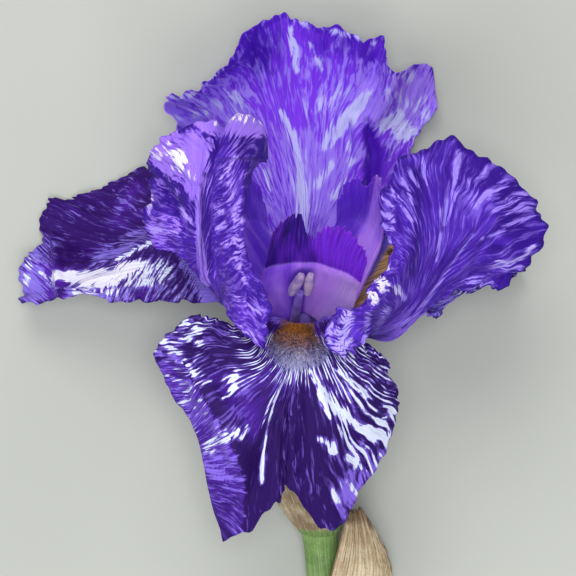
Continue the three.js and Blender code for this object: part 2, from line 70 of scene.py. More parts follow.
UP = np.array([0, np.cos(TILT), np.sin(TILT)])
FRONT = np.array([0, -np.sin(TILT), np.cos(TILT)])
SIDE = np.array([1.0, 0, 0])


def outward(azimuth):
    """The direction out from the flower's axis, by degrees round it from the front."""
    angle = np.radians(azimuth)
    return np.cos(angle) * FRONT + np.sin(angle) * SIDE


def around(azimuth):
    return outward(azimuth + 90)


def bloom_point(azimuth, tangent, out, up):
    """A point from the throat, by how far it is round, out from and up the flower's axis."""
    return outward(azimuth) * out + around(azimuth) * tangent + UP * up


# ---- curves and grids ----
def along(points, t):
    """Points at t (0 to 1) on the smooth curve through an array of points, on its first axis."""
    points = np.asarray(points, float)
    first = 2 * points[0] - points[1]
    final = 2 * points[-1] - points[-2]
    ends = np.concatenate([first[None], points, final[None]])
    place = np.clip(np.asarray(t, float), 0, 1) * (len(points) - 1)
    k = np.minimum(np.floor(place).astype(int), len(points) - 2)
    w = (place - k).reshape((-1,) + (1,) * (points.ndim - 1))
    a, b, c, d = ends[k], ends[k + 1], ends[k + 2], ends[k + 3]
    m0, m1 = 0.5 * (c - a), 0.5 * (d - b)
    return b + w * (m0 + w * (3 * (c - b) - 2 * m0 - m1 + w * (2 * (b - c) + m0 + m1)))


def loft(veins, nu, nv):
    """Points [u, v] of the smooth sheet through veins: v runs along each vein, u across them."""
    curves = np.array([along(points, np.linspace(0, 1, nv + 1)) for points in veins])
    return along(curves, np.linspace(0, 1, nu + 1))


def grid_places(nu, nv):
    return np.meshgrid(np.linspace(0, 1, nu + 1), np.linspace(0, 1, nv + 1), indexing="ij")


def smooth(value, low, high):
    """0 below low and 1 above high, eased between them."""
    t = np.clip((value - low) / (high - low), 0, 1)
    return t * t * (3 - 2 * t)


def window(values, low, high, soft):
    """1 between low and high, fading over the soft distance on both sides."""
    return smooth(values, low - soft, low) * (1 - smooth(values, high, high + soft))


def bell(values, middle, width):
    return np.exp(-(((values - middle) / width) ** 2))


def waves(u, low, high, seed, terms=5):
    """An uneven wave of the given range of frequencies, about -1 to 1."""
    rng = np.random.RandomState(seed)
    total = np.zeros_like(u)
    for _ in range(terms):
        frequency, phase = rng.uniform(low, high), rng.uniform(0, 2 * np.pi)
        total += np.sin(2 * np.pi * frequency * u + phase)
    return total / np.sqrt(terms)


def unit(vectors):
    return vectors / np.maximum(np.linalg.norm(vectors, axis=-1, keepdims=True), 1e-9)


def sheet_frame(points):
    """Unit vectors over a grid [u, v]: its normals, and the directions along v and along u."""
    du, dv = np.gradient(points, axis=0), np.gradient(points, axis=1)
    return unit(np.cross(du, dv)), unit(dv), unit(du)


def displaced(middle, push, reach, spread=0.0):
    """A grid [u, v] with its points moved along its normals, along v and along u, in millimetres."""
    normal, lengthwise, crosswise = sheet_frame(middle)
    moved = middle + normal * push[..., None] + lengthwise * reach[..., None]
    return moved + crosswise * np.asarray(spread)[..., None]


def press_on_floor(points):
    """Points near the floor eased up, so that none lies under the floor's gap."""
    excess = points[..., 2] - FLOOR_GAP
    eased = FLOOR_SOFTNESS * np.log1p(np.exp(np.minimum(excess, FLOOR_REACH) / FLOOR_SOFTNESS))
    result = points.copy()
    result[..., 2] = FLOOR_GAP + np.where(excess > FLOOR_REACH, excess, eased)
    return result


# ---- meshes ----
def link(name, data):
    """A new object in the scene."""
    made = bpy.data.objects.new(name, data)
    bpy.context.scene.collection.objects.link(made)
    return made


def add_mesh(name, vertices, faces, material, node, attributes, maps=None):
    """A mesh from millimetres; faces all have the same number of corners."""
    mesh = bpy.data.meshes.new(name)
    corners = faces.shape[1]
    mesh.vertices.add(len(vertices))
    mesh.vertices.foreach_set("co", (vertices * MM).astype(np.float32).ravel())
    mesh.loops.add(faces.size)
    mesh.loops.foreach_set("vertex_index", faces.astype(np.int32).ravel())
    mesh.polygons.add(len(faces))
    mesh.polygons.foreach_set("loop_start", np.arange(0, faces.size, corners, dtype=np.int32))
    mesh.polygons.foreach_set("use_smooth", np.ones(len(faces), bool))
    mesh.update(calc_edges=True)
    for key, uv in (maps or {}).items():
        mesh.uv_layers.new(name=key).data.foreach_set("uv", uv.astype(np.float32).ravel())
    for key, values in attributes.items():
        layer = mesh.attributes.new(key, "FLOAT", "POINT")
        layer.data.foreach_set("value", values.astype(np.float32).ravel())
    mesh.materials.append(material)
    piece = link(name, mesh)
    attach(piece, "root")
    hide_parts(node)


def quads(*corners):
    return np.stack([corner.ravel() for corner in corners], axis=1)


def sheet_bake_map(parts, grid, under):
    """The bake map of a closed sheet: its two faces side by side, and its four rims in strips."""
    counts = np.cumsum([0] + [len(part) for part in parts])
    bake = np.empty(grid.shape)
    for k in range(len(parts)):
        rows = slice(counts[k], counts[k + 1])
        low = under[rows]
        across = FACE_LEFT + FACE_WIDTH * grid[rows, :, 0]
        upward = FACE_FOOT + FACE_HEIGHT * grid[rows, :, 1]
        if k == 1:
            across = FACE_LEFT + SECOND_FACE + FACE_WIDTH * grid[rows, :, 0]
        elif k in (2, 3):
            upward = END_STRIPS[k - 2] + END_STRIP_HEIGHT * low
        elif k in (4, 5):
            across = SIDE_STRIPS[k - 4] + SIDE_STRIP_WIDTH * low
        bake[rows] = np.stack([across, upward], axis=-1)
    return bake


def shell_mesh(name, middle, thickness, material, attributes, flow=None):
    """A closed sheet of the given thickness about a grid of middle points [u, v]."""
    nu, nv = middle.shape[0] - 1, middle.shape[1] - 1
    offset = sheet_frame(middle)[0] * (thickness / 2)[..., None]
    vertices = np.concatenate([(middle + offset).reshape(-1, 3), (middle - offset).reshape(-1, 3)])
    index = np.arange((nu + 1) * (nv + 1)).reshape(nu + 1, nv + 1)
    other = index + index.size
    parts = [
        quads(index[:-1, :-1], index[1:, :-1], index[1:, 1:], index[:-1, 1:]),
        quads(other[:-1, :-1], other[:-1, 1:], other[1:, 1:], other[1:, :-1]),
        quads(index[:-1, 0], other[:-1, 0], other[1:, 0], index[1:, 0]),
        quads(index[1:, -1], other[1:, -1], other[:-1, -1], index[:-1, -1]),
        quads(index[0, 1:], other[0, 1:], other[0, :-1], index[0, :-1]),
        quads(index[-1, :-1], other[-1, :-1], other[-1, 1:], index[-1, 1:]),
    ]
    faces = np.concatenate(parts)
    flat_u, flat_v = [np.tile(places.ravel(), 2) for places in grid_places(nu, nv)]
    grid = np.stack([flat_u[faces], flat_v[faces]], axis=-1)
    vein = grid
    if flow is not None:
        beyond, turned = flow
        crossed = np.tile(beyond.ravel(), 2)[faces].any(axis=1)
        vein = np.where(crossed[:, None, None], np.tile(turned.reshape(-1, 2), (2, 1))[faces], grid)
    under = (faces >= index.size).astype(float)
    both = {key: np.tile(values.ravel(), 2) for key, values in attributes.items()}
    maps = {"vein": vein, "OFBake": sheet_bake_map(parts, grid, under)}
    add_mesh(name, vertices, faces, material, name, both, maps)


def ring_angles(sides):
    return 2 * np.pi * np.arange(sides) / sides


def tube_rings(centres, radii, wide=SIDE, tangents=None):
    """Rings of points about a path; radii is [ring, side], and the first side faces the wide way."""
    if tangents is None:
        tangents = unit(np.gradient(centres, axis=0))
    angle = ring_angles(radii.shape[1])[None, :, None]
    first = unit(wide - tangents * (tangents @ wide)[:, None])[:, None]
    second = np.cross(tangents, first[:, 0])[:, None]
    spokes = radii[..., None]
    return centres[:, None] + spokes * np.cos(angle) * first + spokes * np.sin(angle) * second


def tube_mesh(name, rings, material, node):
    """A round body through rings [ring, side]; its flat ends leave only a pinhole at their middles."""
    count, sides = rings.shape[:2]
    caps = []
    for ring in (rings[0], rings[-1]):
        middle = ring.mean(0)
        inward = [ring + (middle - ring) * k / CAP_RINGS for k in range(1, CAP_RINGS)]
        caps.append(np.array(inward + [middle + (ring - middle) * CAP_TIP]))
    every = np.concatenate([caps[0][::-1], rings, caps[1]])
    total = len(every)
    index = np.arange(total * sides).reshape(total, sides)
    following = np.roll(index, -1, axis=1)
    faces = quads(index[:-1], following[:-1], following[1:], index[1:])
    rising = np.linspace(0, 1 - 1 / CAP_RINGS, CAP_RINGS)
    length = np.concatenate([np.zeros(CAP_RINGS), np.linspace(0, 1, count), np.ones(CAP_RINGS)])
    rim = np.concatenate([rising, np.ones(count), rising[::-1]])
    fields = {"length": length, "rim": rim, "cap": (rim < 0.999).astype(float)}
    fields = {key: np.repeat(values, sides) for key, values in fields.items()}
    column = (faces % sides).astype(float)
    column[:, 1:3] = column[:, [0]] + 1
    vein = np.stack([column / sides, faces // sides / (total - 1)], axis=-1)
    add_mesh(name, every.reshape(-1, 3), faces, material, node, fields,
             {"vein": vein, "OFBake": MAP_EDGE + (1 - 2 * MAP_EDGE) * vein})


# ---- material nodes ----
# a mix node's colour sockets, which share their names with its other kinds
MIX_FIRST, MIX_SECOND, MIX_RESULT = 6, 7, 2


def srgb(red, green, blue):
    """A colour given as on a screen, 0 to 255, as the linear values that shaders take."""
    values = np.array([red, green, blue]) / 255
    linear = np.where(values <= 0.04045, values / 12.92, ((values + 0.055) / 1.055) ** 2.4)
    return (*[float(x) for x in linear], 1.0)


class Tree:
    """A material with one principled shader, and short ways to add the nodes that feed it."""

    def __init__(self, name):
        self.material = bpy.data.materials.new(name)
        self.material.use_nodes = True
        self.nodes = self.material.node_tree.nodes
        self.links = self.material.node_tree.links
        self.shader = self.nodes["Principled BSDF"]

    def put(self, socket, value):
        if isinstance(value, bpy.types.NodeSocket):
            self.links.new(value, socket)
        else:
            socket.default_value = value

    def add(self, kind, inputs, **settings):
        """A node with its inputs set or linked, by name or number."""
        made = self.nodes.new(kind)
        for key, value in settings.items():
            setattr(made, key, value)
        for key, value in inputs.items():
            self.put(made.inputs[key], value)
        return made

    def math(self, operation, *values):
        return self.add("ShaderNodeMath", dict(enumerate(values)), operation=operation).outputs[0]

    def plus(self, first, *others):
        for other in others:
            first = self.math("ADD", first, other)
        return first

    def times(self, first, *others):
        for other in others:
            first = self.math("MULTIPLY", first, other)
        return first

    def swing(self, value, size):
        """A value from 0 to 1 turned into a swing of the given size about zero."""
        return self.times(self.math("SUBTRACT", value, 0.5), size)

    def step(self, value, low, high, out_low=0.0, out_high=1.0):
        inputs = {"Value": value, "From Min": low, "From Max": high, "To Min": out_low, "To Max": out_high}
        return self.add("ShaderNodeMapRange", inputs, interpolation_type="SMOOTHSTEP").outputs["Result"]

    def mix(self, factor, first, second):
        inputs = {"Factor": factor, MIX_FIRST: first, MIX_SECOND: second}
        made = self.add("ShaderNodeMix", inputs, data_type="RGBA", clamp_factor=True)
        return made.outputs[MIX_RESULT]

    def fade(self, value, low, high, first, second, most=1.0):
        """From the first colour to the second as the value goes from low to high, at most this far."""
        return self.mix(self.step(value, low, high, 0.0, most), first, second)

    def value_of(self, name):
        return self.add("ShaderNodeAttribute", {}, attribute_name=name).outputs["Fac"]

    def vein(self):
        return self.add("ShaderNodeUVMap", {}, uv_map="vein").outputs["UV"]

    def noise(self, place, scales, shift, detail, roughness, dimensions, distortion=0.0):
        inputs = {"Vector": place, "Scale": scales, "Location": (shift, 0.37 * shift, 0.11 * shift)}
        moved = self.add("ShaderNodeMapping", inputs).outputs["Vector"]
        inputs = {"Vector": moved, "Scale": 1.0, "Detail": detail, "Roughness": roughness,
                  "Distortion": distortion}
        return self.add("ShaderNodeTexNoise", inputs, noise_dimensions=dimensions).outputs["Fac"]

    def streaks(self, place, across, lengthwise, shift, detail=2.0, roughness=0.5, distortion=0.0):
        """Noise on the vein map, with its own fineness across the veins and along them."""
        return self.noise(place, (across, lengthwise, 1), shift, detail, roughness, "2D", distortion)

    def grain(self, fineness, shift, detail=2.0, roughness=0.5):
        """Noise in space, even in all directions; the fineness is to a metre."""
        place = self.add("ShaderNodeTexCoord", {}).outputs["Object"]
        return self.noise(place, (fineness,) * 3, shift, detail, roughness, "3D")

    def finish(self, colour, roughness, bump=None, **constants):
        """Feeds the shader; bump is (height, distance in metres, strength)."""
        self.put(self.shader.inputs["Base Color"], colour)
        self.put(self.shader.inputs["Roughness"], roughness)
        if bump is not None:
            inputs = dict(zip(("Height", "Distance", "Strength"), bump))
            self.put(self.shader.inputs["Normal"], self.add("ShaderNodeBump", inputs).outputs["Normal"])
        for key, value in constants.items():
            self.shader.inputs[key.replace("_", " ")].default_value = value
        return self.material


# Petals and style arms reflect a little, in violet.
VIOLET_SHINE = (0.75, 0.6, 1.0, 1.0)
VELVET, DUSK = srgb(38, 12, 84), srgb(84, 36, 168)
DEEP, VIOLET = srgb(48, 16, 128), srgb(87, 41, 188)
LILAC, WHITE = srgb(138, 104, 226), srgb(218, 225, 249)
GLOWING = srgb(238, 232, 251)
# the right fall's golden haft colour is painted lighter than TAN, to stand in for the light it lacks in the
# shade of the throat
TAN, GOLD_PAINTED_LIGHT, VEIN_BROWN = srgb(180, 128, 74), srgb(255, 206, 132), srgb(98, 46, 62)


def petal_material(name, shift, colours, across=46.0, lengthwise=8.0, dark_lines=0.4, warm=TAN,
                   edge=(0.38, 0.5)):
    """Feathered streaks along the veins, from deep violet to white, led by the petal's fields."""
    tree = Tree(name)
    deep, violet, lilac, white = colours
    white = tree.mix(tree.value_of("glow"), white, GLOWING)
    vein = tree.vein()
    sway = tree.swing(tree.streaks(vein, 5, 3.2, shift + 3.1), 0.09)
    offset = tree.add("ShaderNodeCombineXYZ", {"X": sway}).outputs[0]
    swayed = tree.add("ShaderNodeVectorMath", {0: vein, 1: offset}, operation="ADD").outputs[0]
    coarse = tree.streaks(swayed, across, lengthwise, shift)
    fine = tree.streaks(swayed, across * 2.3, lengthwise * 2.2, shift + 7.7, roughness=0.6)
    hairs = tree.streaks(swayed, across * 4.2, lengthwise * 0.9, shift + 4.9, roughness=0.6)
    wide = tree.swing(tree.streaks(vein, 8, 5, shift + 1.3), 1.0)

    # white: broken stripes and feathered streaks, where the white field asks for them
    streak = tree.plus(tree.times(coarse, 0.52), tree.times(fine, 0.48))
    streak = tree.math("SUBTRACT", tree.step(streak, 0.37, 0.63), 0.5)
    count = tree.plus(tree.value_of("count"), tree.times(sway, STRIPES))
    stripe = tree.math("SINE", tree.times(count, 2 * np.pi))
    stripe = tree.times(stripe, tree.step(coarse, 0.34, 0.62, 0.08, 0.36), tree.value_of("stripe"))
    marked = tree.value_of("white")
    white_level = tree.plus(
        tree.times(marked, 0.62), tree.times(streak, tree.step(marked, 0.0, 1.0, 0.14, 0.62)), stripe
    )
    white_mask = tree.step(white_level, *edge)

    # lilac: soft patches, and a halo round the white; and how deep the violet is
    soft = tree.swing(tree.step(fine, 0.34, 0.66), 0.8)
    patchy = tree.swing(coarse, 1.2)
    lilac_level = tree.plus(tree.plus(tree.value_of("pale"), soft), tree.plus(wide, patchy))
    halo = tree.times(tree.step(white_level, 0.16, 0.42), 0.7)
    lilac_mask = tree.math("MAXIMUM", tree.step(lilac_level, 0.2, 0.9), halo)
    # the shade field holds the petal's own deeper violet and, in creases, under overhangs and along
    # margins, painted shade
    depth = tree.plus(tree.value_of("shade"), tree.times(wide, 1.2), tree.swing(hairs, 1.4))
    colour = tree.fade(depth, -0.5, 0.5, deep, violet)
    colour = tree.mix(lilac_mask, colour, lilac)
    colour = tree.mix(white_mask, colour, white)

    # thin dark lines, weaker on white and on pale ground
    unmarked = tree.math("SUBTRACT", 1.0, tree.times(white_mask, 0.6))
    lines = tree.times(tree.step(hairs, 0.5, 0.64), dark_lines, unmarked)
    lines = tree.times(lines, tree.step(tree.value_of("pale"), 0.2, 1.1, 1.0, 0.35))
    colour = tree.mix(lines, colour, deep)

    # the warm haft with its brown veins
    haft = tree.streaks(swayed, 46, 2.2, shift + 6.1, detail=3, roughness=0.6)
    warm = tree.fade(haft, 0.46, 0.57, warm, VEIN_BROWN, 0.7)
    warmth = tree.plus(tree.value_of("warm"), tree.swing(haft, 2.4))
    warmth = tree.times(tree.step(warmth, 0.25, 0.8), tree.step(tree.value_of("warm"), 0, 0.2))
    colour = tree.mix(warmth, colour, warm)
    height = tree.plus(tree.times(hairs, 0.7), tree.times(fine, 0.5))
    return tree.finish(
        colour,
        tree.step(fine, 0.3, 0.7, 0.45, 0.65),
        (height, 0.00035, 0.7),
        Subsurface_Weight=0.25,
        Subsurface_Radius=(0.6, 0.3, 1.0),
        Subsurface_Scale=0.001,
        Sheen_Weight=0.03,
        Sheen_Roughness=0.4,
        Sheen_Tint=(0.7, 0.55, 1.0, 1.0),
        Specular_IOR_Level=0.16,
        Specular_Tint=VIOLET_SHINE,
    )


def style_material(name, shift, arm_colours, crest_colours):
    """A smooth translucent arm with painted light and shade across it, and a darker crest that has fine
    lines up to its teeth.
    """
    tree = Tree(name)
    vein = tree.vein()
    fine = tree.streaks(vein, 60, 4, shift + 5, detail=3, roughness=0.6)
    lines = tree.streaks(vein, 150, 2, shift + 9)
    # painted light and shade: arm and crest lighter on one side and darker on the other, as light falls in
    # the throat
    level = tree.plus(tree.value_of("bright"), tree.swing(tree.streaks(vein, 5, 2.4, shift), 1.2))
    arm = tree.fade(level, 0.0, 1.0, *arm_colours)
    arm = tree.mix(tree.value_of("pale"), arm, srgb(206, 172, 255))
    arm = tree.fade(lines, 0.5, 0.7, arm, srgb(80, 40, 160), 0.14)
    crest = tree.fade(level, 0.1, 0.9, *crest_colours)
    crest = tree.fade(fine, 0.5, 0.75, crest, srgb(108, 52, 190), 0.4)
    crest = tree.fade(lines, 0.5, 0.66, crest, srgb(34, 10, 92), 0.5)
    return tree.finish(
        tree.mix(tree.value_of("crest"), arm, crest),
        tree.step(fine, 0.3, 0.7, 0.4, 0.58),
        (tree.plus(lines, tree.times(fine, 0.6)), 0.0002, 0.6),
        Subsurface_Weight=0.9,
        Subsurface_Radius=(0.45, 0.3, 0.55),
        Subsurface_Scale=0.003,
        Sheen_Weight=0.03,
        Specular_IOR_Level=0.12,
        Specular_Tint=VIOLET_SHINE,
    )


def beard_material(name):
    """Hairs that are dark at the root: orange on the inner ones, bluish white on the outer ones."""
    tree = Tree(name)
    random, height = tree.value_of("random"), tree.value_of("height")
    inner = tree.fade(random, 0.15, 0.95, srgb(66, 27, 8), srgb(214, 126, 5))
    inner = tree.mix(tree.step(height, 0.1, 0.95, 1, 0), inner, srgb(54, 24, 40))
    outer = tree.fade(random, 0.1, 0.8, srgb(92, 86, 170), srgb(204, 208, 240))
    outer = tree.mix(tree.step(height, 0.0, 0.7, 1, 0), outer, srgb(60, 46, 120))
    colour = tree.mix(tree.value_of("outer"), inner, outer)
    grain = tree.grain(9000, 2.0, detail=1)
    colour = tree.fade(grain, 0.35, 0.7, colour, srgb(250, 214, 160), 0.12)
    return tree.finish(colour, tree.step(grain, 0.3, 0.7, 0.45, 0.65), Specular_IOR_Level=0.12)


def stamen_material(name, pollen):
    """Lilac flesh, or the paler grainy skin of the pollen sacs."""
    tree = Tree(name)
    grain = tree.grain(5200, 1.0, detail=3, roughness=0.65)
    blush = tree.grain(420, 4.0)
    if pollen:
        colour = tree.fade(blush, 0.35, 0.65, srgb(130, 104, 172), srgb(174, 146, 190))
        colour = tree.fade(grain, 0.5, 0.7, colour, srgb(216, 198, 200), 0.6)
    else:
        colour = tree.fade(blush, 0.2, 0.8, srgb(112, 84, 182), srgb(146, 118, 212))
        colour = tree.fade(grain, 0.5, 0.75, colour, srgb(160, 136, 214), 0.2)
    rough = tree.step(grain, 0.3, 0.7, 0.5, 0.75)
    bump = (grain, 0.00025 if pollen else 0.0001, 0.8)
    return tree.finish(colour, rough, bump, Subsurface_Weight=0.2, Subsurface_Scale=0.0008,
                       Specular_IOR_Level=0.3)


def green_material(name, pale, dark, shift, lengthwise, flush=0.0):
    """Fleshy green tissue with fine ridges along it, a waxy bloom, and a paler cut face."""
    tree = Tree(name)
    ridges = tree.streaks(tree.vein(), 46, lengthwise, shift)
    mottled = tree.grain(160, shift + 3, detail=4, roughness=0.6)
    specks = tree.grain(2600, shift + 6)
    colour = tree.fade(mottled, 0.32, 0.68, dark, pale)
    colour = tree.fade(ridges, 0.42, 0.7, colour, srgb(150, 176, 108), 0.45)
    colour = tree.fade(specks, 0.58, 0.72, colour, srgb(190, 206, 160), 0.3)
    pith = tree.fade(specks, 0.4, 0.65, srgb(196, 208, 140), srgb(222, 228, 178))
    pith = tree.fade(tree.value_of("rim"), 0.72, 0.86, pith, srgb(128, 158, 74))
    colour = tree.mix(tree.value_of("cap"), colour, pith)
    colour = tree.mix(tree.step(tree.value_of("length"), 0.05, 0.4, flush, 0), colour, srgb(92, 62, 150))
    bump = (tree.plus(tree.times(ridges, 0.8), tree.times(specks, 0.25)), 0.0003, 0.6)
    rough = tree.step(mottled, 0.3, 0.7, 0.38, 0.58)
    return tree.finish(colour, rough, bump, Subsurface_Weight=0.15, Subsurface_Radius=(0.4, 0.8, 0.2),
                       Subsurface_Scale=0.001, Specular_IOR_Level=0.4)


def papery_material(name, pale, brown, shift):
    """A dry sheath: parallel veins, brown blotches, scorched margins, wrinkles and a greenish foot."""
    tree = Tree(name)
    vein = tree.vein()
    fibres = tree.streaks(vein, 60, 2.2, shift, detail=3, roughness=0.6)
    thin = tree.streaks(vein, 170, 5, shift + 2)
    blotch = tree.grain(150, shift + 4, detail=4, roughness=0.65)
    wrinkle = tree.streaks(vein, 26, 34, shift + 6, detail=3, distortion=0.6)
    colour = tree.fade(blotch, 0.35, 0.65, brown, pale)
    colour = tree.fade(fibres, 0.48, 0.7, colour, srgb(128, 98, 66), 0.5)
    colour = tree.fade(thin, 0.5, 0.72, colour, srgb(226, 208, 172), 0.4)
    burnt = tree.plus(tree.value_of("margin"), tree.swing(blotch, 1.2))
    colour = tree.fade(burnt, 0.55, 1.0, colour, srgb(104, 74, 52), 0.8)
    foot = tree.plus(tree.value_of("foot"), tree.swing(fibres, 1.6))
    foot = tree.times(tree.step(foot, 0.2, 0.8), tree.step(tree.value_of("foot"), 0, 0.2))
    colour = tree.mix(foot, colour, srgb(112, 142, 80))
    bump = (tree.plus(tree.times(fibres, 0.8), tree.times(wrinkle, 0.8)), 0.0006, 0.8)
    rough = tree.step(blotch, 0.3, 0.7, 0.55, 0.8)
    return tree.finish(colour, rough, bump, Subsurface_Weight=0.1, Subsurface_Scale=0.001,
                       Specular_IOR_Level=0.3)


# ---- petals, from the throat's centre; x is to the right and y up, seen from above ----
# azimuth: degrees round the flower's axis. turn: which way round the veins follow one another.
# claw: how far out and up the narrow foot is, its half width and depth. skirt: a shift of its far edge.
# ruffle: heights of the big, medium and small ruffles. outline: coarse and fine unevenness of the margin.
# flanks: how much of that the sides get. calm: a range of u with less of it. tips: (u, height, half width).
# shift and streaks: where the petal's noise is read, and how its material differs from the usual.
# veins: the points [x, y, z] of each vein, as in the solids.
# folds and marks: strokes, each (height or strength, (x, y, half width), ...); marks change one field each.
# beyond: the least levels, from its upper to its lower end, of the strip past the fall's fold.
FRONT_FALL = {
    "azimuth": 0, "turn": 1, "claw": (12, 6, 5, 1.5),
    "calm": (0.14, 0.36), "tips": [(0.362, 2.2, 0.013), (0.41, 2, 0.014)],
    "beyond": {"white": (0.38, 0.28), "pale": (0.42, 0.22), "shade": (0.2, 0)},
    "seed": 11, "ruffle": (0.7, 0.45, 0.2), "outline": (0.5, 0.35),
    "shift": 2.0, "colours": (VELVET, DUSK, srgb(134, 104, 222), WHITE),
    "veins": [
        [(-9, 1, 17), (-14, -0.2, 21), (-19, 1.3, 21.5), (-24, 2.3, 19.5)],
        [(-7.5, 0, 19.5), (-13, -4, 24.5), (-22, -3.5, 23.5), (-32, -5, 17.5)],
        [(-5.5, -0.8, 20.5), (-10, -7.5, 26), (-19.5, -10, 25), (-29, -14, 17)],
        [(-3.5, -1, 21), (-6, -9, 26.5), (-14.6, -18.5, 25), (-22.3, -26, 15)],
        [(-2.2, -1, 21.3), (-3.7, -10, 26.5), (-9.5, -24, 24.5), (-17, -46.5, 11)],
        [(-1.3, -1, 21.5), (-2.4, -10, 26.3), (-5.5, -23, 23), (-5.2, -38.3, 17)],
        [(-0.5, -1, 21.5), (-1.3, -10, 26.2), (-3.8, -22, 22.5), (-3.6, -34.4, 19.5)],
        [(0.5, -1, 21.3), (0.5, -10, 26.5), (1.5, -24, 24.5), (5.5, -45, 12)],
        [(2, -1, 21), (4, -9.5, 26.8), (9, -21, 25), (15, -34, 15)],
        [(3.8, -0.8, 20.3), (7.5, -8.5, 26.3), (14, -14.5, 24.5), (20.5, -20, 16)],
        [(5.5, -0.2, 19), (10, -6.5, 25), (15.5, -9, 24), (20.5, -13, 19)],
        [(7, 1, 17), (10.5, -1.5, 21.5), (14, -4.4, 22.3), (18, -7.2, 20)],
    ],
    "folds": [
        (1.3, (-26.5, -7, 1), (-24, -12, 1.2), (-20.5, -17.5, 1.4), (-14.6, -27, 1.4), (-12.4, -34, 1.2),
         (-13, -41, 0.8)),
        (-1, (-21.5, -12, 1.2), (-16.5, -17.5, 1.5), (-11, -27, 1.5), (-9.8, -35, 1.2)),
        (-0.9, (-0.5, -14, 0.7), (-1, -22, 1.2), (-2, -33, 1.3)),
        (0.6, (3.5, -14, 0.8), (8, -24, 1.2), (11, -33, 1.2)), (-0.6, (11, -12, 0.8), (17, -15.5, 1)),
        (0.7, (-30.5, -4.5, 1), (-26, -7, 1.2), (-22, -8, 1)), (0.8, (-25, 0.2, 1), (-19.5, -2.5, 1.2)),
        (-0.8, (-27.5, -2.6, 0.7), (-22, -5.4, 0.8)),
    ],
    "marks": {
        "white": [
            (1.3, (1.8, -9.9, 0.5), (3.5, -13.2, 0.8), (5.1, -16.1, 1.2), (7.3, -17.8, 1.4),
             (9.5, -19.6, 1.35), (12.8, -22.2, 1.45), (15.4, -24, 1.7), (18.3, -24.6, 1.8),
             (20, -23.2, 1.5)),
            (1.2, (4.2, -15, 1), (5.9, -19.8, 0.4)),
            (1.2, (6.8, -9.5, 0.5), (9.5, -11.2, 0.9), (12.3, -13.9, 0.9), (15, -16.1, 0.6)),
            (1, (7.9, -22, 0.35), (9.7, -24.9, 0.5), (11, -27.1, 0.5)),
            (1.2, (4, -24.6, 0.7), (5.5, -25.7, 1.2), (6.8, -27.8, 0.5)),
            (1.1, (9.7, -28.9, 0.8), (11.9, -30.4, 1.5), (13.6, -31.9, 1)),
            (0.72, (13, -27, 2), (18, -27.5, 2.4)), (0.7, (10, -34, 2.2), (12.5, -36.5, 2)),
            (0.65, (9.5, -40, 1.6), (6, -36, 1.5)), (1.1, (17.5, -21, 1.6), (19.8, -18.6, 1.4)),
            (0.95, (-3.6, -10.8, 0.2), (-6.2, -16.5, 0.22), (-7.6, -22, 0.24), (-8.4, -27.5, 0.28),
             (-8.7, -31, 0.42), (-8.6, -34.2, 0.46)),
            (0.75, (-4.6, -11.7, 0.2), (-7.4, -17.5, 0.24), (-8.9, -22.5, 0.2)),
            (1.1, (-11.9, -22, 0.5), (-13.4, -24.8, 0.8)),
            (1.1, (-14.5, -23.1, 1), (-17.6, -24.6, 1), (-19.8, -26.2, 1.1), (-22, -27.5, 0.9)),
            (1.1, (-14.3, -10.2, 0.9), (-15.4, -12, 0.7)), (1.1, (-14.7, -13.4, 0.7), (-17.4, -16, 0.5)),
            (0.9, (-18.5, -11.7, 0.5), (-21.8, -13, 0.5)),
            (0.85, (-31.2, -4.4, 1), (-27.3, -5.5, 1), (-25.1, -8.1, 0.9), (-23.3, -11, 0.6)),
            (0.75, (-26.2, 1.1, 1.2), (-22.9, -0.2, 1.8), (-21.1, -2.2, 1.6)),
            (0.7, (-25.7, -2.4, 1.4), (-22.4, -3.7, 1.4)),
            (0.6, (-29.5, -11, 1.4), (-27.6, -16, 1.4), (-24, -21, 1.6)),
            (0.9, (-24.2, -13.2, 0.5), (-26, -16.5, 0.6), (-26.6, -19.1, 0.7)),
            (0.9, (-32.3, -5.9, 0.5), (-30.6, -3.7, 0.6), (-27.9, -1.5, 0.6)),
            (-0.25, (-12, -4.5, 3), (-17, -5.5, 3)),
        ],
        "pale": [
            (1, (11.5, -38, 2.6), (18, -29, 2.8)),
            (1.2, (-21.6, -30.8, 0.6), (-19.1, -32.3, 0.8), (-16.3, -32.8, 0.6)),
            (0.7, (-30, -4, 2), (-27, -8, 1.4)),
        ],
        "shade": [
            (0.35, (-12, -13, 5), (-11, -22, 3)),
            (-0.7, (-20, -15.5, 1.6), (-14.2, -25.5, 2), (-11.5, -34, 2)),
            (-0.9, (-9.5, -30, 2.5), (-10, -40, 2.5)), (-0.6, (0, -22, 5), (2, -32, 6), (4, -40, 5)),
            (-0.8, (8, -8, 3), (16, -12, 5), (18, -16, 3)), (-0.9, (-13, -4, 4), (-20, -4, 3)),
        ],
        "warm": [
            (0.9, (-0.8, 3, 2.6), (-0.8, -3.2, 2.4)),
        ],
    },
}
LEFT_HAFT = [(-25, 16.5, 1.8), (-22, 11.5, 2), (-19, 5, 2)]
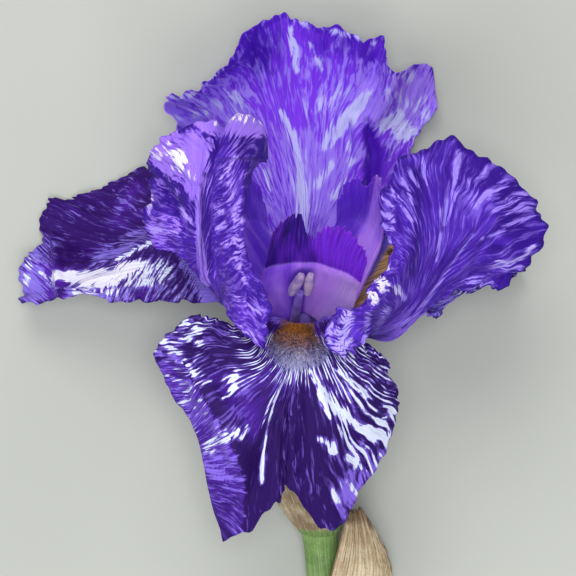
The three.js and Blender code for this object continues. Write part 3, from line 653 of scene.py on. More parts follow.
LEFT_FALL = {
    "azimuth": -120, "turn": 1, "claw": (12, 7, 4.5, 1.5),
    "seed": 23, "ruffle": (0.9, 0.4, 0.15), "outline": (0.5, 0.25), "flanks": 0.5,
    "shift": 14.0, "colours": (srgb(46, 12, 96), srgb(86, 32, 168), srgb(140, 118, 224), WHITE),
    "veins": [
        [(-19, 21.5, -7), (-26, 28.5, -12), (-31, 33, -18), (-35.5, 35.5, -23)],
        [(-20.8, 20, -6.2), (-31, 26, -12), (-38, 30, -19), (-44.5, 31, -23.5)],
        [(-22.1, 18.4, -4.8), (-34, 22.5, -11), (-42.5, 26, -19), (-51, 28.5, -23.5)],
        [(-22.9, 16.8, -3.1), (-35.3, 19.9, -10), (-46, 22.5, -19), (-57.8, 27, -23.5)],
        [(-23.2, 15, -1.3), (-36, 17.6, -8.4), (-47.5, 17.5, -18), (-58.8, 18.5, -23)],
        [(-22.9, 13.2, 0.4), (-36.4, 15.2, -6.3), (-48, 12.7, -16), (-62.5, 14, -20)],
        [(-22, 11.3, 2), (-36, 12.9, -3.8), (-47.5, 10, -9.5), (-62.3, 4.5, -14)],
        [(-20.6, 9.4, 3.5), (-34.2, 10.6, -1), (-44, 8, -3), (-54, 7, -7)],
        [(-18.8, 7.4, 4.7), (-30, 7.8, 3.2), (-37, 6.5, 2.5), (-44, 6, 0)],
        [(-16.5, 5.5, 5.5), (-23.5, 5, 6.5), (-29, 5.5, 6), (-34, 5.5, 5)],
    ],
    "folds": [
        (0.8, (-33.5, 19.5, 0.8), (-40, 14.5, 1), (-47, 12.3, 1), (-55, 11.5, 0.8)),
        (-1.2, (-35, 22.5, 1.5), (-42, 17.5, 1.8), (-50, 15.5, 1.6)),
        (1, (-56.5, 20, 1.2), (-55, 13, 1.2), (-54.5, 7, 1)), (-0.8, (-53.5, 18, 1), (-52.6, 11, 0.9)),
    ],
    "marks": {
        "white": [
            (1.4, (-55, 10.8, 1.1), (-49.7, 10.2, 1.7), (-44, 10, 2.2), (-40, 11.4, 1.9), (-35, 13.6, 0.9)),
            (1, (-33.4, 18.2, 0.6), (-37, 16.4, 0.7), (-41.5, 13.9, 0.5)),
            (0.7, (-61, 15, 1.6), (-62, 8, 1.4)), (0.85, (-58.5, 11.5, 0.5), (-55.5, 8.6, 0.6)),
            (0.92, (-37, 10.5, 3), (-31.5, 11.5, 3)), (0.8, (-50, 7.5, 1.3), (-41, 7.2, 1.4)),
            (-1, *LEFT_HAFT),
        ],
        "pale": [
            (0.7, (-34, 20, 1.4), (-40, 16.5, 1.6), (-46, 13.5, 1.2)), (0.8, (-60, 16, 2.6), (-61, 6, 2.4)),
            (0.9, (-50, 7, 1.6), (-39, 6.5, 1.6)), (1.3, *LEFT_HAFT),
        ],
        "shade": [
            (-0.5, (-40, 26, 8), (-52, 20, 7)), (0.45, (-37, 30, 1.6), (-42, 23, 1.4), (-36, 24, 1.2)),
            (-1.2, (-27, 9.5, 3), (-22.5, 8, 2.6)), (0.8, (-58, 10, 4)),
            (0.8, (-25, 16.5, 1.8), (-22, 11.5, 2.2), (-19, 5, 2.2)),
        ],
        "glow": [
            (0.8, (-55, 10.8, 1.6), (-44, 10, 3), (-36, 13, 1.5)),
        ],
        "warm": [
            (0.6, (-12, 10, 2)),
        ],
    },
}
RIGHT_FALL = {
    "azimuth": 120, "turn": -1, "claw": (12, 7, 6, 1.5), "skirt": (-1.5, -4.6, 1),
    "seed": 37, "ruffle": (0.9, 0.5, 0.18), "outline": (0.6, 0.3),
    "shift": 27.0, "colours": (VELVET, DUSK, srgb(134, 116, 222), WHITE), "streaks": {"warm": GOLD_PAINTED_LIGHT},
    "veins": [
        [(17.5, 20.5, -7), (22, 27, -12), (26, 31.5, -18), (29.5, 33.5, -23)],
        [(19.5, 19, -6.2), (27, 25, -12), (32.5, 28.5, -19), (37, 29.5, -23.5)],
        [(21, 17.8, -5), (30.5, 21.5, -11), (37.5, 24, -19), (43.5, 25, -23.5)],
        [(22, 16.6, -4.3), (32.5, 19, -10), (41, 20, -18.5), (48.5, 20.5, -23.5)],
        [(22.3, 14.9, -3.1), (33, 16.5, -8.4), (42.5, 15.6, -16), (50, 14, -22)],
        [(21.5, 12.6, -1), (32.5, 13, -4.5), (41, 12, -9.5), (48, 11, -14)],
        [(20, 9.6, 2), (30, 9.4, 0.8), (37.5, 9, -3), (43.5, 9.5, -7)],
        [(18, 7, 3.8), (26, 6, 3.6), (32, 5.6, 1.5), (36.5, 7.5, -1)],
        [(15.5, 4.6, 4.6), (21.5, 4, 5.4), (25.5, 2.6, 4.8), (29, 1, 3.8)],
    ],
    "folds": [
        (2.4, (7, 1, 1.6), (12, 5, 1.8), (15.5, 10.5, 1.8), (20.5, 17.5, 1.6)),
    ],
    "marks": {
        "white": [
            (0.8, (34, 8, 1.8), (43, 10.5, 1.4)),
        ],
        "pale": [
            (1.5, (9.5, 4.4, 0.8), (13.6, 10, 1), (18, 17.8, 1.2)), (0.9, (30, 6.5, 3)),
        ],
        "shade": [
            (-0.4, (34, 22, 8), (44, 18, 6)),
        ],
        "warm": [
            (0.95, (9, 1.8, 1.8), (12.4, 5, 1.4), (16.7, 10, 1.1), (20.6, 17.2, 1)),
        ],
    },
}
FOLD_SHADOW = [(14.6, 44, 0.7), (16.2, 38, 1.5), (16, 33, 2.4), (13, 28, 2)]
BACK_STANDARD = {
    "azimuth": 180, "turn": -1, "claw": (12, 5.5, 4, 1.4), "calm": (0.8, 0.95),
    "seed": 41, "ruffle": (0.9, 0.6, 0.22), "outline": (0.5, 0.3), "flanks": 0.45, "shift": 35.0,
    "colours": (srgb(74, 25, 172), srgb(122, 55, 222), srgb(151, 117, 232), srgb(190, 188, 240)),
    "streaks": {"across": 40, "lengthwise": 8, "dark_lines": 0.2, "edge": (0.26, 0.66)},
    "veins": [
        [(-8.4, 20.4, -11.4), (-12.6, 29.5, -15.5), (-17.5, 36, -15.5), (-22.5, 41, -14), (-27, 43, -9)],
        [(-4.8, 20, -13.2), (-10, 30, -17.8), (-16, 40, -19.5), (-23, 46, -16), (-30.5, 50.3, -7)],
        [(-3.6, 19.2, -14), (-7.6, 30.5, -19.5), (-12.8, 42, -21.5), (-19, 49, -17), (-24, 51.8, -9)],
        [(-2.4, 18.6, -14.3), (-5.2, 31, -20.5), (-9.6, 44.5, -22.5), (-15, 53.5, -18), (-18.8, 56.2, -10)],
        [(-1.2, 18.2, -14.7), (-2.6, 32, -21), (-5.5, 46, -23.2), (-9.8, 57, -18.5), (-13, 63.8, -10)],
        [(0, 18, -14.9), (-0.5, 32.5, -21), (-3, 46.5, -22.6), (-5.5, 59, -17.5), (-6, 69, -11)],
        [(1.1, 18.2, -14.7), (1.8, 32.5, -21), (2, 46.5, -23), (1.5, 58.5, -18.5), (2, 67, -11)],
        [(2.2, 18.5, -14.2), (4.5, 31.8, -20.2), (6.5, 45.5, -22.3), (8.5, 57.5, -17.5), (10, 65.2, -9)],
        [(3.3, 18.9, -13.3), (7.5, 31, -18.8), (10.8, 43.5, -19.8), (14.5, 54.5, -15), (17, 62.8, -7.5)],
        [(4.4, 19.4, -13.2), (10, 31, -18.2), (14, 42, -18), (18, 50, -13.5), (20.3, 56.3, -8)],
        [(6, 20, -12.4), (14.5, 31, -18), (18.8, 40.5, -19.5), (23, 47.5, -18.5), (28.5, 58, -16.5)],
        [(9.4, 20.2, -11.4), (18.8, 30.2, -17), (23.4, 37, -19.5), (26, 42.6, -20.5), (30.3, 48.3, -19)],
    ],
    "folds": [
        (-0.8, (-4.4, 48, 0.7), (-0.9, 38.5, 1), (0.2, 26.4, 1.4), (-0.2, 18, 1.4)),
        (1.4, (12.2, 46, 0.9), (13.4, 38.5, 1.2), (12.6, 31.5, 1.2), (9, 25, 1)),
        (-1.6, (14.3, 45, 0.9), (16.2, 38.5, 1.3), (15.6, 31.5, 1.3), (12, 26.4, 1)),
        (1, (8, 44, 1.2), (14.5, 52, 1.3)), (-0.9, (-9, 66, 1), (-9.2, 57, 1.2), (-7, 46, 1)),
        (1.2, (-6.2, 66, 0.9), (-6.5, 58, 1)), (-1, (19.5, 56, 1.2), (15.5, 48, 1.2)),
        (0.8, (-24, 48, 1.3), (-14, 44, 1.2)), (-0.8, (-20, 51.5, 1.2), (-11, 46, 1)),
        (1.1, (-10, 28, 0.7), (-4, 21.5, 0.8)), (1.1, (13.6, 32, 0.7), (8, 25.8, 0.8), (4, 20.6, 0.8)),
    ],
    "marks": {
        "white": [
            (1.3, (-4.6, 47.5, 0.8), (-2.8, 44, 0.9), (-0.9, 38.5, 1), (0, 33, 1.1), (0.2, 26.4, 1.6),
             (-0.2, 20, 1.5)),
            (0.75, (-1, 38, 2.6), (0.5, 26, 3.2)), (1.1, (-2.6, 65.5, 1), (-2, 61.6, 1.2), (-1.1, 57, 0.8)),
            (0.85, (2, 63, 0.6), (4.5, 57, 0.5)),
            (1.25, (15, 51.4, 1.1), (10.6, 46.2, 1.7), (7.3, 42.9, 1.7), (5.2, 40, 1.2)),
            (1, (6.4, 35.6, 1.2), (3.2, 31, 1.1)),
            (1.35, (18, 44.5, 1.3), (21, 45.8, 2.3), (23.5, 42.9, 2.2)),
            (0.9, (20.5, 56.8, 1.6), (22.8, 56, 2.2)), (0.85, (27, 50, 1.6), (27.5, 46, 1.6)),
            (0.95, (10.6, 39.8, 1.4)), (0.95, (11, 36.3, 1.2)), (0.9, (10, 32, 1), (7, 28.5, 1)),
            (0.8, (-8, 34, 1), (-7, 30, 1)), (0.62, (9, 52, 4), (2, 48, 4)),
            (0.54, (-24, 48, 3), (-14, 50, 3), (-16, 44, 3)), (0.6, (20, 52, 3.5), (26, 48, 3)),
            (0.85, (-15, 52, 0.8), (-11.5, 47.5, 0.9), (-9.5, 44, 0.6)),
            (0.8, (-28, 46, 0.9), (-21, 47.5, 0.8)), (0.85, (-18, 53, 0.6), (-13.5, 49, 0.7)),
            (0.95, (-30.5, 50, 0.7), (-24.6, 51.2, 0.7), (-20.7, 54.3, 0.7), (-17.5, 57, 0.6)),
            (0.85, (-2, 68, 0.6), (2, 66.6, 0.8), (9, 65, 0.8), (16, 62.6, 0.6)), (-0.7, *FOLD_SHADOW),
        ],
        "pale": [
            (1, (-10, 27.5, 1), (-6, 24, 1), (-3.7, 21, 0.9)),
            (1.2, (13.5, 31.5, 1), (8, 25.5, 1), (4, 20.4, 1)), (1.1, (6, 36, 6), (1, 28, 6)),
            (1, (12, 50, 5), (22, 48, 6), (28, 51, 4)), (1, (-28, 47, 4), (-22, 47, 5), (-14, 48, 4)),
            (-1.2, *FOLD_SHADOW),
        ],
        "shade": [
            (-0.9, (-8.8, 66, 2.5), (-9, 58, 2)), (-0.5, (-17, 57, 3), (-10, 62, 3)),
            (-0.5, (8, 62, 4), (14, 60, 4)),
            # painted shade in the valley of the fold by the right flap
            (-1.3, (14.2, 45, 0.9), (15.9, 38.5, 1.3), (15.4, 31.5, 1.3), (11.9, 26.4, 1)),
            (0.6, (3, 50, 8), (-10, 45, 6)),
        ],
    },
}
# painted shadow: the crease where the left standard's upper panel overlaps the lower one
FLAP_CREASE_SHADOW = [(-34.1, 35.2, 0.4), (-29, 31.4, 0.5), (-25.4, 28.4, 0.5), (-25.8, 25.4, 0.4),
    (-27.4, 23.8, 0.3)]
RIDGE_SHADOW = [(-20, 41.5, 0.9), (-20.8, 36, 1.1), (-21.4, 26, 0.8), (-20.6, 12, 0.8)]
LEFT_STANDARD = {
    "azimuth": -60, "turn": 1, "claw": (11, 3, 3.2, 1.2),
    "seed": 53, "ruffle": (0.7, 0.5, 0.2), "outline": (0.4, 0.25), "flanks": 0.45,
    "shift": 46.0, "colours": (DEEP, VIOLET, srgb(156, 116, 234), srgb(172, 146, 242)),
    "streaks": {"across": 56},
    "veins": [
        [(-20.5, 8, 10), (-25.5, 14, 12.5), (-29, 16.5, 11), (-32, 17, 9.5)],
        [(-21, 8.2, 12), (-25.5, 16.5, 15.5), (-30.5, 20, 13), (-35, 20.5, 9)],
        [(-21.2, 8.5, 13.5), (-25, 20, 17.5), (-29.5, 24.5, 15), (-33.5, 26.5, 11)],
        [(-21.4, 8.8, 14.6), (-24.4, 23, 18.8), (-29, 30, 14), (-33.5, 34.5, 9.5)],
        [(-21.5, 9.1, 15.3), (-23.8, 25.5, 20.5), (-28, 34, 20), (-33, 38.5, 16.5)],
        [(-21.6, 9.3, 15.9), (-23.4, 26, 21.5), (-25.5, 36, 22.5), (-28.5, 42, 20)],
        [(-21.6, 9.5, 16.5), (-22.6, 25.5, 22.3), (-20.3, 35, 24.5), (-20.5, 44.5, 23.5)],
        [(-21.3, 9.4, 17), (-21.3, 26, 23.2), (-18, 38, 25), (-14, 46.3, 19), (-11, 40, 12)],
        [(-20.8, 9, 17.5), (-20, 25.5, 24), (-15.5, 36, 26), (-8.8, 42.3, 18), (-8.2, 36.4, 15.5)],
        [(-20, 8.6, 18), (-18.8, 23, 25.3), (-14, 30.5, 27.5), (-11.8, 33, 26.5), (-10.3, 33.4, 23)],
        [(-19, 8, 18.3), (-17.3, 18.5, 26.3), (-14, 21.5, 28.5), (-12.8, 23, 28)],
        [(-18, 7.4, 18.3), (-16.2, 13.5, 26.8), (-12.8, 13.5, 29.5), (-11, 13.2, 29.3)],
        [(-17.2, 6.8, 17.8), (-15.5, 9, 26.5), (-10.5, 7.5, 29.5), (-7.3, 6.5, 29.5)],
        [(-16.5, 6.4, 17), (-15.5, 5.5, 25.5), (-10.5, 2.5, 29), (-7, 0.8, 29.5)],
        [(-16, 6, 16), (-16.5, 2.8, 23.5), (-12.5, -2, 27.5), (-8.6, -5.3, 28.5)],
    ],
    "folds": [
        (-1.1, (-34.5, 35.6, 0.7), (-29, 31.6, 0.8), (-24.8, 28.2, 0.8), (-24, 23, 0.7)),
        (1, (-33, 37.5, 0.8), (-27.5, 33.6, 1), (-23.5, 29.5, 0.8)),
        (1.3, (-21.8, 41, 0.7), (-22.6, 34, 0.8), (-23.2, 25, 0.8), (-22.3, 14, 0.8), (-19.5, 6, 0.8)),
        (-1, (-19.8, 38, 0.9), (-20.6, 30, 1), (-20.8, 20, 0.9), (-19.5, 11, 0.8)),
        (-0.7, (-33, 28, 0.7), (-28, 24.5, 0.8), (-26, 20, 0.6)), (0.6, (-33, 22, 0.8), (-27, 22, 0.8)),
        (0.8, (-17.5, 27, 0.7), (-14.5, 25.5, 0.7)), (0.8, (-17.8, 21.5, 0.7), (-14, 20, 0.7)),
        (-0.7, (-17.5, 24, 0.6), (-13.5, 22.6, 0.6)), (-0.7, (-17, 17.8, 0.6), (-12.8, 17.2, 0.6)),
        (0.7, (-16.6, 14.5, 0.6), (-12.4, 14.2, 0.6)), (-0.6, (-16, 11, 0.6), (-11.8, 10.4, 0.6)),
        (0.6, (-15, 6.5, 0.7), (-9, 3.5, 0.7)), (-0.6, (-14.6, 3.4, 0.6), (-9.6, 0.4, 0.6)),
    ],
    "marks": {
        "white": [
            (1.2, (-27.8, 37.8, 1.6), (-26.6, 35.4, 1.7)), (1, (-33.8, 38.6, 1.6), (-31.4, 37, 1)),
            (0.6, (-30, 40, 3.4), (-24, 33, 2.6)), (-1.4, *FLAP_CREASE_SHADOW),
            (1, (-34, 32.3, 0.5), (-33.4, 27.5, 0.8), (-33.8, 24.2, 0.5)),
            (0.75, (-26.4, 25.3, 0.9), (-24.8, 23.4, 0.7), (-23.4, 21.6, 0.4)),
            (0.62, (-33, 21, 1.6), (-27, 20.6, 1.5)),
            (0.9, (-22.2, 34, 0.2), (-22.7, 26, 0.3), (-22.4, 17, 0.3), (-20.6, 8, 0.25)),
            (0.95, (-18.7, 26, 0.8), (-17.6, 24.6, 0.6)), (1, (-18.2, 20.8, 0.6), (-16.8, 21.8, 0.8)),
            (0.85, (-15.8, 26.8, 0.7), (-15, 28.4, 0.6)), (0.95, (-14.8, 24, 0.7), (-13.6, 25, 0.7)),
            (0.85, (-17, 17.5, 0.5), (-14.5, 18.5, 0.6)), (0.8, (-15, 15.2, 0.6), (-12.8, 16.4, 0.7)),
            (0.8, (-13.4, 12.5, 0.5), (-12.2, 9.2, 0.6)),
            (0.6, (-16, 34, 1.6), (-14, 22, 2.6), (-14.5, 12, 2.2)), (0.62, (-13.5, 6, 2), (-9.5, 2.8, 2)),
            (0.7, (-13.2, -0.3, 1.2), (-9.8, -3, 1.2)), (0.8, (-17.5, 31.5, 0.6), (-14.5, 36.5, 0.7)),
            # the stroke from (-20, 45) is the top lobe: pale pinkish white in part, and in part painted
            # highlight where it faces the light above
            (0.95, (-20, 45, 1.6), (-14, 46, 1.8), (-9, 44, 1.3)), (-1, *RIDGE_SHADOW),
        ],
        "pale": [
            (1.3, (-33, 39, 3), (-28, 36, 3.4), (-23.6, 38, 2.4), (-24, 32, 1.8), (-24.4, 28.5, 0.8)),
            (-1.6, *FLAP_CREASE_SHADOW), (0.7, (-32, 21, 2.2), (-27, 21, 1.5)),
            (1.4, (-21.6, 40, 0.4), (-22.6, 30, 0.4), (-22.6, 20, 0.5), (-21, 9, 0.6)),
            # the top lobe again: part pale colour, part painted highlight
            (1.6, (-20, 44.6, 1.8), (-15, 45, 2.2), (-9.6, 43.4, 1.6)),
        ],
        "shade": [
            # the first two strokes are painted shadow along that crease
            (-1.8, (-34.1, 35.2, 0.5), (-29, 31.4, 0.6), (-24.6, 28, 0.6), (-23.6, 24.2, 0.5)),
            (-1.6, (-25.4, 28.4, 0.5), (-25.8, 25.4, 0.5), (-27.4, 23.8, 0.4)),
            # the stroke from (-12, 40) is painted shade under the overhanging top lobe
            (-0.5, (-31, 29, 2), (-27, 27, 2)), (-1.3, (-12, 40, 2.4), (-9, 36, 2.8), (-11, 32, 1.4)),
            (-1.4, *RIDGE_SHADOW),
        ],
        "glow": [
            (1, (-27.8, 37.6, 3), (-26, 35, 3)),
            (0.8, (-34, 38, 2), (-34, 28, 1.2), (-20, 44.5, 2), (-11, 43.5, 2)),
            # the top lobe: a whiter white that is in part painted highlight
            (1, (-20, 45, 3), (-14, 46, 3), (-9, 44, 2)),
        ],
    },
}
RIGHT_STANDARD = {
    "azimuth": 60, "turn": 1, "claw": (11, 2, 3.2, 1.2), "skirt": (1.5, -3, 0),
    "seed": 67, "ruffle": (0.7, 0.5, 0.22), "outline": (0.55, 0.42),
    "shift": 58.0, "colours": (DEEP, VIOLET, LILAC, srgb(160, 136, 242)),
    "streaks": {"across": 84, "lengthwise": 6.5},
    "veins": [
        [(14.5, 0.2, 17), (14.8, -1.6, 24), (11.8, -5, 27.7), (8, -7.3, 28.5)],
        [(16, 1, 17.3), (14, 0.5, 25), (8.5, -2, 28.5), (4.6, -3, 28.5)],
        [(17.2, 1.6, 17.5), (14.5, 2.5, 25.5), (9.5, 2, 28), (7, 3, 27)],
        [(18.4, 2.2, 17.6), (17, 4, 26), (14, 3.5, 28), (12.1, 3.9, 27.5)],
        [(19.5, 2.8, 17.7), (19.5, 7.5, 26), (17.2, 9, 28.5), (15.3, 9.5, 28.5)],
        [(20.6, 3.4, 17.6), (22, 11, 26), (21, 14.5, 27.5), (20, 16.8, 27)],
        [(21.3, 3.6, 17.4), (24, 14, 25.5), (20.5, 20.5, 27.5), (16.8, 22.5, 26)],
        [(22, 3.7, 17), (26, 15.5, 25), (22.5, 26, 26), (17.8, 30.5, 22.5)],
        [(22.5, 3.6, 16.6), (28, 16.5, 24.5), (26.5, 29, 25), (24.5, 38, 20)],
        [(22.9, 3.2, 16.1), (29.8, 16.5, 24), (31, 30, 25), (33.5, 40.5, 20)],
        [(23, 2.2, 15.5), (31.3, 15.8, 23.5), (36.5, 27, 24.5), (42, 35, 20)],
        [(22.8, 1.1, 14.8), (32.6, 14.6, 22.5), (42, 24, 23), (50.5, 27.5, 17.5)],
        [(22.2, -0.2, 14), (33, 12.4, 21), (43.3, 18.8, 21.5), (53.5, 21.5, 17)],
        [(21.4, -1.6, 12.9), (32, 9.8, 18.5), (41.5, 13.2, 19), (48.8, 13, 15)],
        [(20, -3.2, 11.5), (29.3, 5.2, 15.5), (37.6, 8, 15), (44.5, 8, 12)],
    ],
    "folds": [
        (0.7, (38, 21, 0.4), (32.6, 13.2, 0.5), (27.1, 5.5, 0.6), (21.6, -0.7, 0.7)),
        (-0.8, (42, 23, 0.8), (35, 13.6, 0.9), (28.6, 4.6, 0.8)), (-0.6, (30, 30, 0.9), (28.5, 16, 0.8)),
        (0.6, (33, 34, 0.9), (31, 22, 0.8)), (-0.8, (23.8, 32, 0.9), (23.8, 16, 1)),
        (0.7, (20.5, 31, 0.8), (22, 21, 0.8)), (0.9, (49, 21.5, 0.7), (43.5, 18.7, 0.9), (40, 19.4, 0.7)),
        (-1, (50.5, 18.4, 0.8), (44.5, 15.8, 0.9), (41, 16.4, 0.7)),
        (0.8, (43, 12.6, 0.8), (37, 11.6, 0.9)), (-0.8, (41, 9.6, 0.8), (35, 8.8, 0.8)),
        (-0.6, (20.6, 10, 0.6), (17.4, 8.4, 0.6)), (0.6, (19, 12.2, 0.6), (16, 10.8, 0.6)),
        (0.6, (18.6, 6, 0.6), (15.4, 5, 0.6)),
    ],
    "marks": {
        "white": [
            (1.05, (34.1, 38.5, 0.4), (33.4, 33, 0.8), (32.4, 27.8, 1.1), (31, 24.6, 1.4), (30.8, 22, 0.6)),
            (0.8, (30, 19.8, 0.5), (29.2, 13.9, 0.4)), (0.85, (26.2, 36.3, 0.5), (27.1, 30.8, 0.6)),
            (0.95, (18.3, 30.8, 0.6), (21.6, 26.4, 0.8), (24.2, 22.7, 0.5)),
            (0.85, (21.6, 32, 0.5), (24.4, 26.4, 0.6)), (0.8, (23, 34, 0.5), (25, 30, 0.5)),
            (0.8, (16.8, 28, 0.5), (20, 25.5, 0.6)), (1, (17.4, 24.6, 0.6), (19.8, 23, 0.7)),
            (1, (17.4, 21.6, 0.5), (19.4, 20.6, 0.6)), (0.95, (17.6, 18.6, 0.5), (19.2, 18.2, 0.6)),
            (1.15, (16.6, 9.8, 1.2), (17.8, 8.2, 1.1)), (1.15, (14.8, 6.8, 1), (15.8, 5.2, 0.9)),
            (1, (20.4, 8, 1), (22.2, 6, 0.7)), (1, (18.6, 12.6, 0.8)), (0.7, (18, 3, 1.4), (16, -1.5, 1.2)),
            (0.95, (37, 19.8, 0.32), (32.6, 13.2, 0.36), (27.1, 5.5, 0.4), (21.6, -0.7, 0.5)),
            (0.68, (42, 25, 1.6), (49, 29, 2.2)), (0.62, (44.5, 24.5, 1), (51.5, 26.5, 1.6)),
            (0.55, (36, 30, 3), (40, 34, 2)), (0.95, (39.2, 18.9, 0.45), (43.8, 20.9, 0.5)),
            (0.78, (43.5, 21.4, 0.5), (50.5, 24, 0.7)), (0.66, (41.5, 13, 1.8), (47, 13, 2)),
            (0.75, (36, 9.5, 1.6), (41, 9, 1.6)), (1.1, (10.2, 3, 1.1), (8.9, -2, 1.8), (8.2, -6.6, 1.9)),
            (0.8, (5.8, 0, 1.2), (6, -4, 1.2)), (0.85, (14.2, 2.4, 0.8), (13.6, -3, 0.7), (12.4, -7, 0.6)),
            (0.62, (38, 27, 3), (46, 31, 2.4)),
            (0.85, (40.6, 14.8, 0.4), (44.7, 13.6, 0.5), (48, 15, 0.6), (50.8, 17.6, 0.5)),
        ],
        "pale": [
            (0.9, (25, 2, 1.6), (17, -4.5, 1.4)),
        ],
        "shade": [
            (0.7, (11.8, 1, 1.4), (11.5, -3, 1.2)), (-0.8, (25, 33, 0.8), (24.5, 20, 0.9), (24, 12, 0.9)),
            (-0.7, (43, 34, 3), (47, 22, 2.2)), (-0.9, (41, 16.8, 0.6), (45, 16, 0.7), (48.5, 17.8, 0.6)),
        ],
        "glow": [
            (0.9, (17, 9.6, 2), (15.2, 6, 1.8), (18.6, 7, 1.6)),
            (0.3, (10.4, 3, 1.6), (8.8, -2, 1.8), (8.2, -6.6, 1.8)),
            (0.3, (41, 14.5, 0.8), (44.7, 13.8, 1), (50, 17, 1)),
        ],
    },
}


# ---- petal surfaces ----
GRID_U, GRID_V = grid_places(PETAL_NU, PETAL_NV)
GRID_SIDE = np.abs(2 * GRID_U - 1)


def petal_grid(petal):
    """Middle points [u, v] of a petal's smooth surface."""
    azimuth, turn = petal["azimuth"], petal["turn"]
    out, up, half, depth = petal["claw"]
    veins = []
    for s, points in zip(np.linspace(-1, 1, len(petal["veins"])), petal["veins"]):
        sink = depth * (1 - s * s)
        base = bloom_point(azimuth + turn * RIM_HALF_ANGLE * s, 0, RIM_RADIUS, 0)
        claw = bloom_point(azimuth, turn * half * s, out + 0.5 * sink, up - sink)
        claw = claw + np.array(petal.get("skirt", (0, 0, 0))) * max(s, 0)
        veins.append([base, claw, *points])
    return press_on_floor(loft(veins, PETAL_NU, PETAL_NV) + THROAT)


def stroke(places, points):
    """How near places are to a stroke: 1 on it, a half at its half width, 0 at twice that."""
    best = np.zeros(places.shape[:-1])
    pairs = list(zip(points, points[1:])) or [(points[0], points[0])]
    for (ax, ay, aw), (bx, by, bw) in pairs:
        start, reach = np.array([ax, ay]), np.array([bx - ax, by - ay])
        t = np.clip(((places - start) @ reach) / max(reach @ reach, 1e-9), 0, 1)
        gap = np.linalg.norm(places - start - t[..., None] * reach, axis=-1)
        best = np.maximum(best, 1 - gap / (2 * (aw + t * (bw - aw))))
    return best


def ruffled(petal, middle):
    """Folds, ruffles that grow towards the margins, and an uneven outline."""
    u, v, side, seed = GRID_U, GRID_V, GRID_SIDE, petal["seed"]
    flanks = petal.get("flanks", 1.0)
    calm = 1 - 0.75 * window(u, *petal["calm"], 0.06) if "calm" in petal else 1.0
    across = u + 0.012 * np.sin(9 * v + seed)
    flank = flanks * smooth(side, 0.82, 1) * smooth(v, 0.38, 0.6)
    big, medium, small = petal["ruffle"]
    push = big * smooth(v, 0.45, 1.0) ** 1.5 * waves(across, 5, 9, seed)
    push += calm * medium * smooth(v, 0.68, 1.0) ** 1.3 * waves(across, 13, 22, seed + 1)
    push += calm * small * smooth(v, 0.8, 1.0) * waves(across, 34, 52, seed + 2)
    push += medium * flank * (1 - smooth(v, 0.85, 1)) * waves(v + 0.03 * u, 6, 11, seed + 3)
    push += 0.5 * small * flank * waves(v, 18, 28, seed + 4)
    push += 0.10 * smooth(v, 0.25, 0.5) * (1 - 0.6 * smooth(v, 0.8, 1)) * waves(across, 26, 40, seed + 5)
    push += 0.22 * smooth(v, 0.3, 0.6) * waves(across + 0.11 * v, 3, 6, seed + 6) * waves(v, 2, 5, seed + 7)
    places = (middle - THROAT)[..., :2]
    for height, *points in petal["folds"]:
        push -= petal["turn"] * height * smooth(stroke(places, points), 0, 1)
    coarse, fine = petal["outline"]
    reach = coarse * waves(u, 9, 16, seed + 8) + fine * waves(u, 26, 46, seed + 9) - 0.3 * coarse
    reach = calm * reach * (1 - 0.8 * smooth(side, 0.86, 1))
    for place, height, half in petal.get("tips", []):
        reach = reach + height * np.maximum(1 - np.abs(u - place) / half, 0)
    spread = flanks * fine * 1.4 * waves(v, 8, 18, seed + 10) * smooth(side, 0.88, 1) * smooth(v, 0.4, 0.6)
    return press_on_floor(displaced(middle, push, reach * smooth(v, 0.8, 1), spread * np.sign(u - 0.5)))


def base_fields(white=0.1, pale=0.0, shade=0.0, stripe=0.0):
    levels = {"white": white, "pale": pale, "shade": shade, "stripe": stripe, "warm": 0.0, "glow": 0.0}
    fields = {key: np.ones_like(GRID_U) * level for key, level in levels.items()}
    fields["count"] = STRIPES * GRID_U + 34 * np.minimum(GRID_U - 0.42, 0)
    return fields


def petal_fields(petal, middle, flow, levels):
    """The fields that lead the colours: base levels, then the petal's marks, then painted shade along the
    margins.
    """
    places = (middle - THROAT)[..., :2]
    fields = base_fields(**levels)
    for key, marks in petal["marks"].items():
        for strength, *points in marks:
            near = stroke(places, points)
            if key == "shade" or strength < 0:
                fields[key] += strength * near
                continue
            if key == "warm":
                near = smooth(near, 0, 0.6)
            elif key != "white":
                near = np.sqrt(np.maximum(near, 0))
            fields[key] = np.maximum(fields[key], strength * near)
    # painted shade: the margins darkened and their white weakened
    rim = 0.8 * smooth(GRID_V, 0.97, 1) + 0.6 * smooth(GRID_SIDE, 0.985, 1) * smooth(GRID_V, 0.4, 0.5)
    fields["shade"] -= rim
    fields["white"] *= 1 - 0.4 * rim
    for key, (upper, lower) in petal.get("beyond", {}).items():
        level = upper + (lower - upper) * smooth(-places[..., 1], 22, 36)
        fields[key] = np.where(flow[0], np.maximum(fields[key], level), fields[key])
    return fields


# Where streaks turn away from the veins: which places, and the vein map's u and v there.
def front_flow(x, y):
    """Beyond the front fall's fold, streaks leave its line and run across the strip."""
    line = np.array([(-26.5, -8), (-24, -12), (-20.5, -17.5), (-14.6, -27), (-12.4, -34), (-13, -48)])
    beyond = (x < np.interp(-y, -line[:, 1], line[:, 0])) & (y < line[0, 1])
    away = np.clip(x + 12, -12.5, 3)
    leaves_at = (y - 1.5 * away) / (1 + 0.048 * away)
    return beyond, 0.0135 * leaves_at + 3, 0.019 * x + 2


def left_fall_flow(x, y):
    """On the left fall's near half streaks run down to the edge, and on its tip they slant."""
    line = np.array([(-45, 5), (-40, 14.5), (-35, 17.5), (-20, 17.5)])
    beyond = (y < np.interp(x, line[:, 0], line[:, 1])) & (x > line[0, 0]) & (x < -18)
    tip = x + 0.12 * (y - 12) < -55.5
    across = np.where(tip, 0.02 * (y + 0.75 * x), 0.022 * (x - 0.55 * y)) + 3
    return beyond | tip, across, np.where(tip, 0.02 * x, 0.028 * y) + 2


